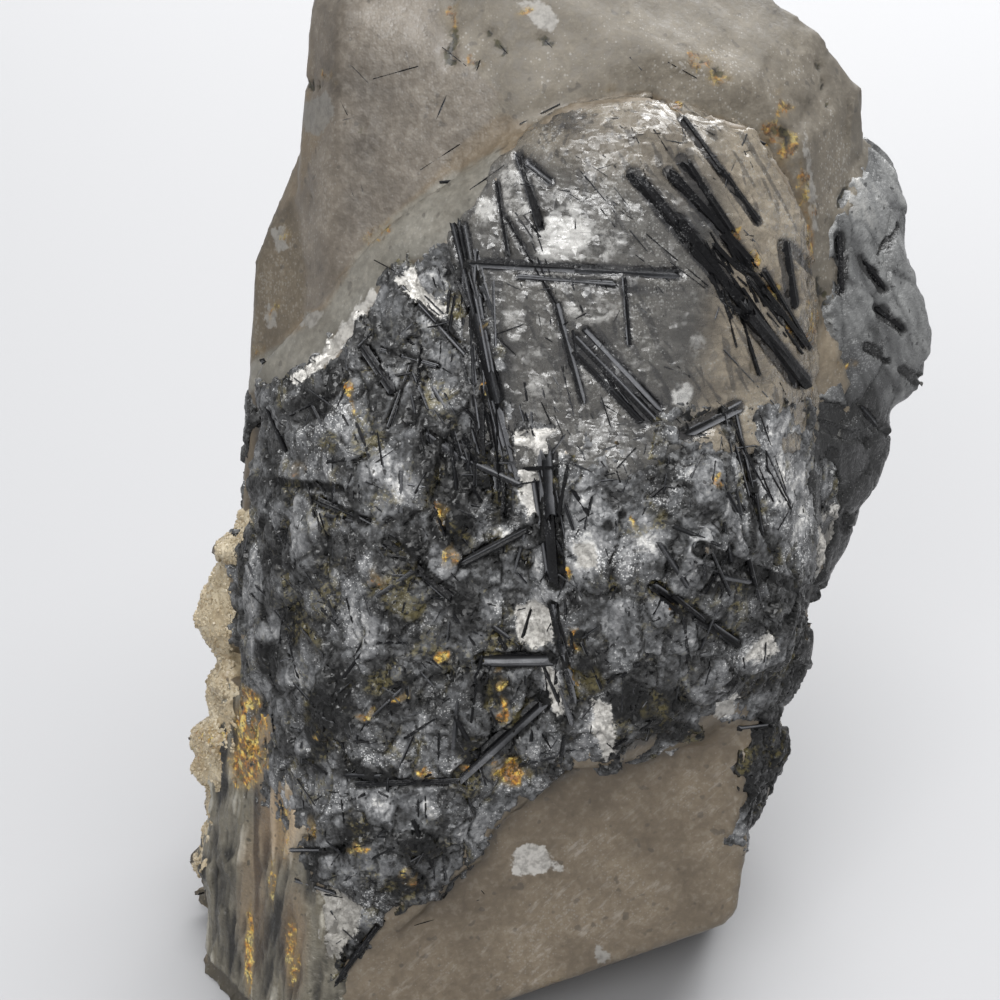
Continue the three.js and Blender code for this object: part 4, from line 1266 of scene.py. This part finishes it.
# Materials
quartzLook = {
    # zone: darker colour, lighter colour, ragged reach of its edge in mm
    "smokyTop": ((0.088, 0.073, 0.056), (0.275, 0.236, 0.190), 2.5),
    "frost": ((0.110, 0.094, 0.070), (0.270, 0.236, 0.184), 5.0),
    "ledge": ((0.155, 0.142, 0.115), (0.31, 0.295, 0.255), 2.5),
    "flankStrip": ((0.070, 0.054, 0.035), (0.20, 0.163, 0.112), 1.5),
    "dome": ((0.07, 0.068, 0.065), (0.16, 0.155, 0.145), 1.5),
    "side": ((0.07, 0.069, 0.065), (0.18, 0.178, 0.168), 2.0),
    "banded": ((0.055, 0.048, 0.035), (0.15, 0.128, 0.09), 2.0),
    "crust": ((0.25, 0.205, 0.14), (0.42, 0.36, 0.26), 2.0),
    "needleRock": ((0.025, 0.025, 0.026), (0.07, 0.069, 0.067), 3.0),
    "beige": ((0.21, 0.165, 0.11), (0.36, 0.295, 0.21), 1.0),
}


def smokyQuartz():
    look = newMaterial("smokyQuartz", 110.0)
    cloud, grain = look.cloud, look.grain
    look.colour = look.ramp(cloud, (0.3, (0.138, 0.106, 0.070)), (0.7, (0.285, 0.225, 0.153)))
    rubble = look.ramp(cloud, (0.32, (0.07, 0.068, 0.062)), (0.5, (0.17, 0.16, 0.14)),
                       (0.68, (0.36, 0.34, 0.3)))
    look.cover(look.field("behind"), rubble, 0.75)
    for name, (dark, light, reach) in quartzLook.items():
        look.cover(look.zone(name, cloud, reach), look.ramp(cloud, (0.3, dark), (0.7, light)))
    feather = look.streaks(-42, (0.13, 1, 1), 1500.0, 3.0)
    foot = look.times(look.field("foot"), look.span(feather, 0.52, 0.74, 0.0, 0.75))
    look.cover(look.times(foot, look.span(cloud, 0.38, 0.62)), (0.44, 0.39, 0.33))
    look.cover(look.span(grain, 0.56, 0.34, 0.0, 0.20), (0.05, 0.042, 0.032))
    look.cover(look.span(grain, 0.52, 0.70, 0.0, 0.15), (0.50, 0.46, 0.39))
    frost = look.zone("frost", cloud, 4.0, 2.0)
    # painted glints as bright specks, most on the frosted face; painted shade in small dark pits
    look.cover(look.times(look.speck, look.span(frost, 0, 1, 0.15, 0.34)), (0.62, 0.61, 0.58))
    look.cover(look.pit, (0.05, 0.045, 0.04), 0.45)
    look.chip()
    look.stain()
    # painted shade: the hollows go near-black, with olive dust in places
    hollow = look.sway(look.field("hollow"), grain, 1.6)
    olive = look.ramp(grain, (0.44, (0.006, 0.006, 0.005)), (0.62, (0.060, 0.053, 0.018)))
    look.cover(look.span(hollow, 0.35, 0.8, 0.0, 0.95), olive)
    look.give("Transmission Weight", 0.5)
    look.give("IOR", 1.54)
    absorb = look.add("VolumeAbsorption", Color=(0.60, 0.52, 0.43, 1), Density=38.0)
    look.join(absorb.outputs["Volume"], look.nodes["Material Output"].inputs["Volume"])
    rough = look.maths("MULTIPLY_ADD", frost, 0.22, look.span(grain, 0.35, 0.65, 0.36, 0.52))
    return look.finish(rough, (grain, 0.00008))


def needleRock():
    look = newMaterial("needleRock", 190.0)
    glitter = look.group(facetGlitter, Scale=2400.0, Tilt=0.8)
    tone = look.field("tone")
    shade = look.sway(look.sway(tone, look.grain, 0.5), glitter["Tone"], 0.10)
    look.colour = look.ramp(shade, (0.10, (0.003, 0.003, 0.003)), (0.26, (0.034, 0.034, 0.034)),
                            (0.44, (0.094, 0.096, 0.099)), (0.66, (0.225, 0.226, 0.228)),
                            (0.92, (0.66, 0.65, 0.62)))
    # painted glints as bright specks, fewer where the tone is dark; painted shade in small dark pits
    look.cover(look.times(look.speck, look.span(tone, 0.12, 0.5, 0.0, 0.8)), (0.58, 0.58, 0.57))
    look.cover(look.pit, (0.012, 0.012, 0.012), 0.85)
    dust = look.maths("ADD", look.cloud, look.grain)
    olive = look.times(look.span(dust, 0.96, 1.16, 0.0, 0.6), look.field("moss"))
    look.cover(olive, (0.120, 0.100, 0.038))
    look.chip()
    look.stain()
    look.give("Specular IOR Level", 0.36)
    return look.finish(look.span(glitter["Tone"], 0.0, 1.0, 0.22, 0.6), (glitter["Height"], 1.0))


def needledQuartz():  # the dome: clear, with painted silvery highlights where the needles lie under it
    look = newMaterial("needledQuartz", 170.0)
    ripple = look.streaks(7, (0.3, 1, 1), 950.0)
    ghost = look.span(look.streaks(-32, (1, 1, 0.04), 1100.0, 1.0), 0.59, 0.64)
    ghostTwo = look.span(look.streaks(-8, (1, 1, 0.04), 1000.0, 1.0), 0.62, 0.67)
    look.colour = look.ramp(look.cloud, (0.3, (0.070, 0.068, 0.065)), (0.7, (0.165, 0.158, 0.145)))
    brown = look.ramp(look.cloud, (0.3, (0.225, 0.188, 0.140)), (0.7, (0.42, 0.364, 0.28)))
    look.cover(look.field("rim"), brown)
    look.cover(look.maths("MAXIMUM", ghost, ghostTwo), (0.035, 0.035, 0.037), 0.55)
    # painted highlight: the silvery spots and the ripples, lightened towards white
    paintedShine = look.maths("ADD", look.field("silver"), look.times(ripple, 0.9))
    paintedShine = look.sway(paintedShine, look.grain, 1.0)
    look.cover(look.span(paintedShine, 0.75, 1.6, 0.0, 0.85), (0.72, 0.71, 0.68))
    # darker murk, with painted shade along the needle grooves
    murk = look.maths("MULTIPLY_ADD", look.grain, 0.5, look.field("dark"))
    look.cover(look.span(murk, 0.3, 1.1, 0.0, 0.85), (0.028, 0.028, 0.031))
    # painted glints as bright specks
    look.cover(look.speck, (0.55, 0.55, 0.53), 0.45)
    look.stain()
    look.give("Transmission Weight", 0.5)
    look.give("IOR", 1.54)
    glitter = look.group(facetGlitter, Scale=1100.0, Tilt=0.45)
    return look.finish((0.16, 0.42), (glitter["Height"], 1.0), (ripple, 0.00018))


def sideQuartz():
    look = newMaterial("sideQuartz", 170.0)
    vein = look.streaks(-28, (1, 1, 0.12), 330.0)
    shade = look.sway(look.field("tone"), vein, 0.9)
    look.colour = look.ramp(shade, (0.1, (0.012, 0.012, 0.012)), (0.30, (0.065, 0.066, 0.066)),
                            (0.55, (0.16, 0.162, 0.160)), (0.85, (0.31, 0.305, 0.29)))
    # painted glints as bright specks, and painted shade in small dark pits
    look.cover(look.speck, (0.5, 0.5, 0.5), 0.2)
    look.cover(look.pit, (0.02, 0.02, 0.02), 0.8)
    look.stain()
    return look.finish((0.25, 0.5), (look.grain, 0.0002), (vein, 0.0002))


def bandedQuartz():
    look = newMaterial("bandedQuartz", 170.0)
    band = look.streaks(-6, (1, 1, 0.07), 300.0)
    shade = look.sway(band, look.field("ribs"), 0.35)
    look.colour = look.ramp(shade, (0.28, (0.012, 0.011, 0.009)), (0.42, (0.070, 0.063, 0.048)),
                            (0.5, (0.115, 0.105, 0.082)), (0.58, (0.095, 0.084, 0.060)),
                            (0.70, (0.27, 0.255, 0.215)))
    warm = look.mix(1.0, look.colour, (1.0, 0.78, 0.56), "MULTIPLY")
    look.cover(look.field("warm"), look.mix(0.35, warm, (0.26, 0.175, 0.105)))
    # painted shade in small dark pits
    look.cover(look.pit, (0.03, 0.028, 0.02), 0.7)
    look.stain()
    return look.finish((0.3, 0.55), (band, 0.0005), (look.grain, 0.0002))


@functools.cache
def schorl():
    look = newMaterial("schorl", 260.0)
    shade = look.sway(look.field("tone"), look.cloud, 0.6)
    look.colour = look.ramp(shade, (0.1, (0.002, 0.002, 0.0025)), (0.45, (0.014, 0.0145, 0.016)),
                            (0.90, (0.115, 0.117, 0.124)))
    # painted glints as bright specks
    look.cover(look.speck, (0.3, 0.3, 0.3), 0.25)
    look.give("IOR", 1.62)
    look.give("Specular IOR Level", 0.16)
    return look.finish(look.span(look.grain, 0.3, 0.7, 0.3, 0.6), (look.grain, 0.00008))


@functools.cache
def druseQuartz():
    look = newMaterial("druseQuartz", 240.0)
    shade = look.sway(look.field("tone"), look.grain, 0.4)
    look.colour = look.ramp(shade, (0.10, (0.15, 0.105, 0.055)), (0.42, (0.275, 0.222, 0.143)),
                            (0.85, (0.43, 0.375, 0.275)))
    # painted shade in small dark pits
    look.cover(look.pit, (0.12, 0.08, 0.04), 0.3)
    look.stain()
    glitter = look.group(facetGlitter, Scale=2600.0, Tilt=0.4)
    return look.finish((0.25, 0.5), (glitter["Height"], 1.0))


buildStudio()
quartzBody = buildQuartz()
skins = [quartzBody, buildRock(), buildDome(), buildSide(), buildBanded()]
buildCrust()
surface = treeOf(*skins)
buildNeedles(surface)
buildStrewnNeedles(surface)
buildHairs(surface)
buildBackNeedles(quartzBody)
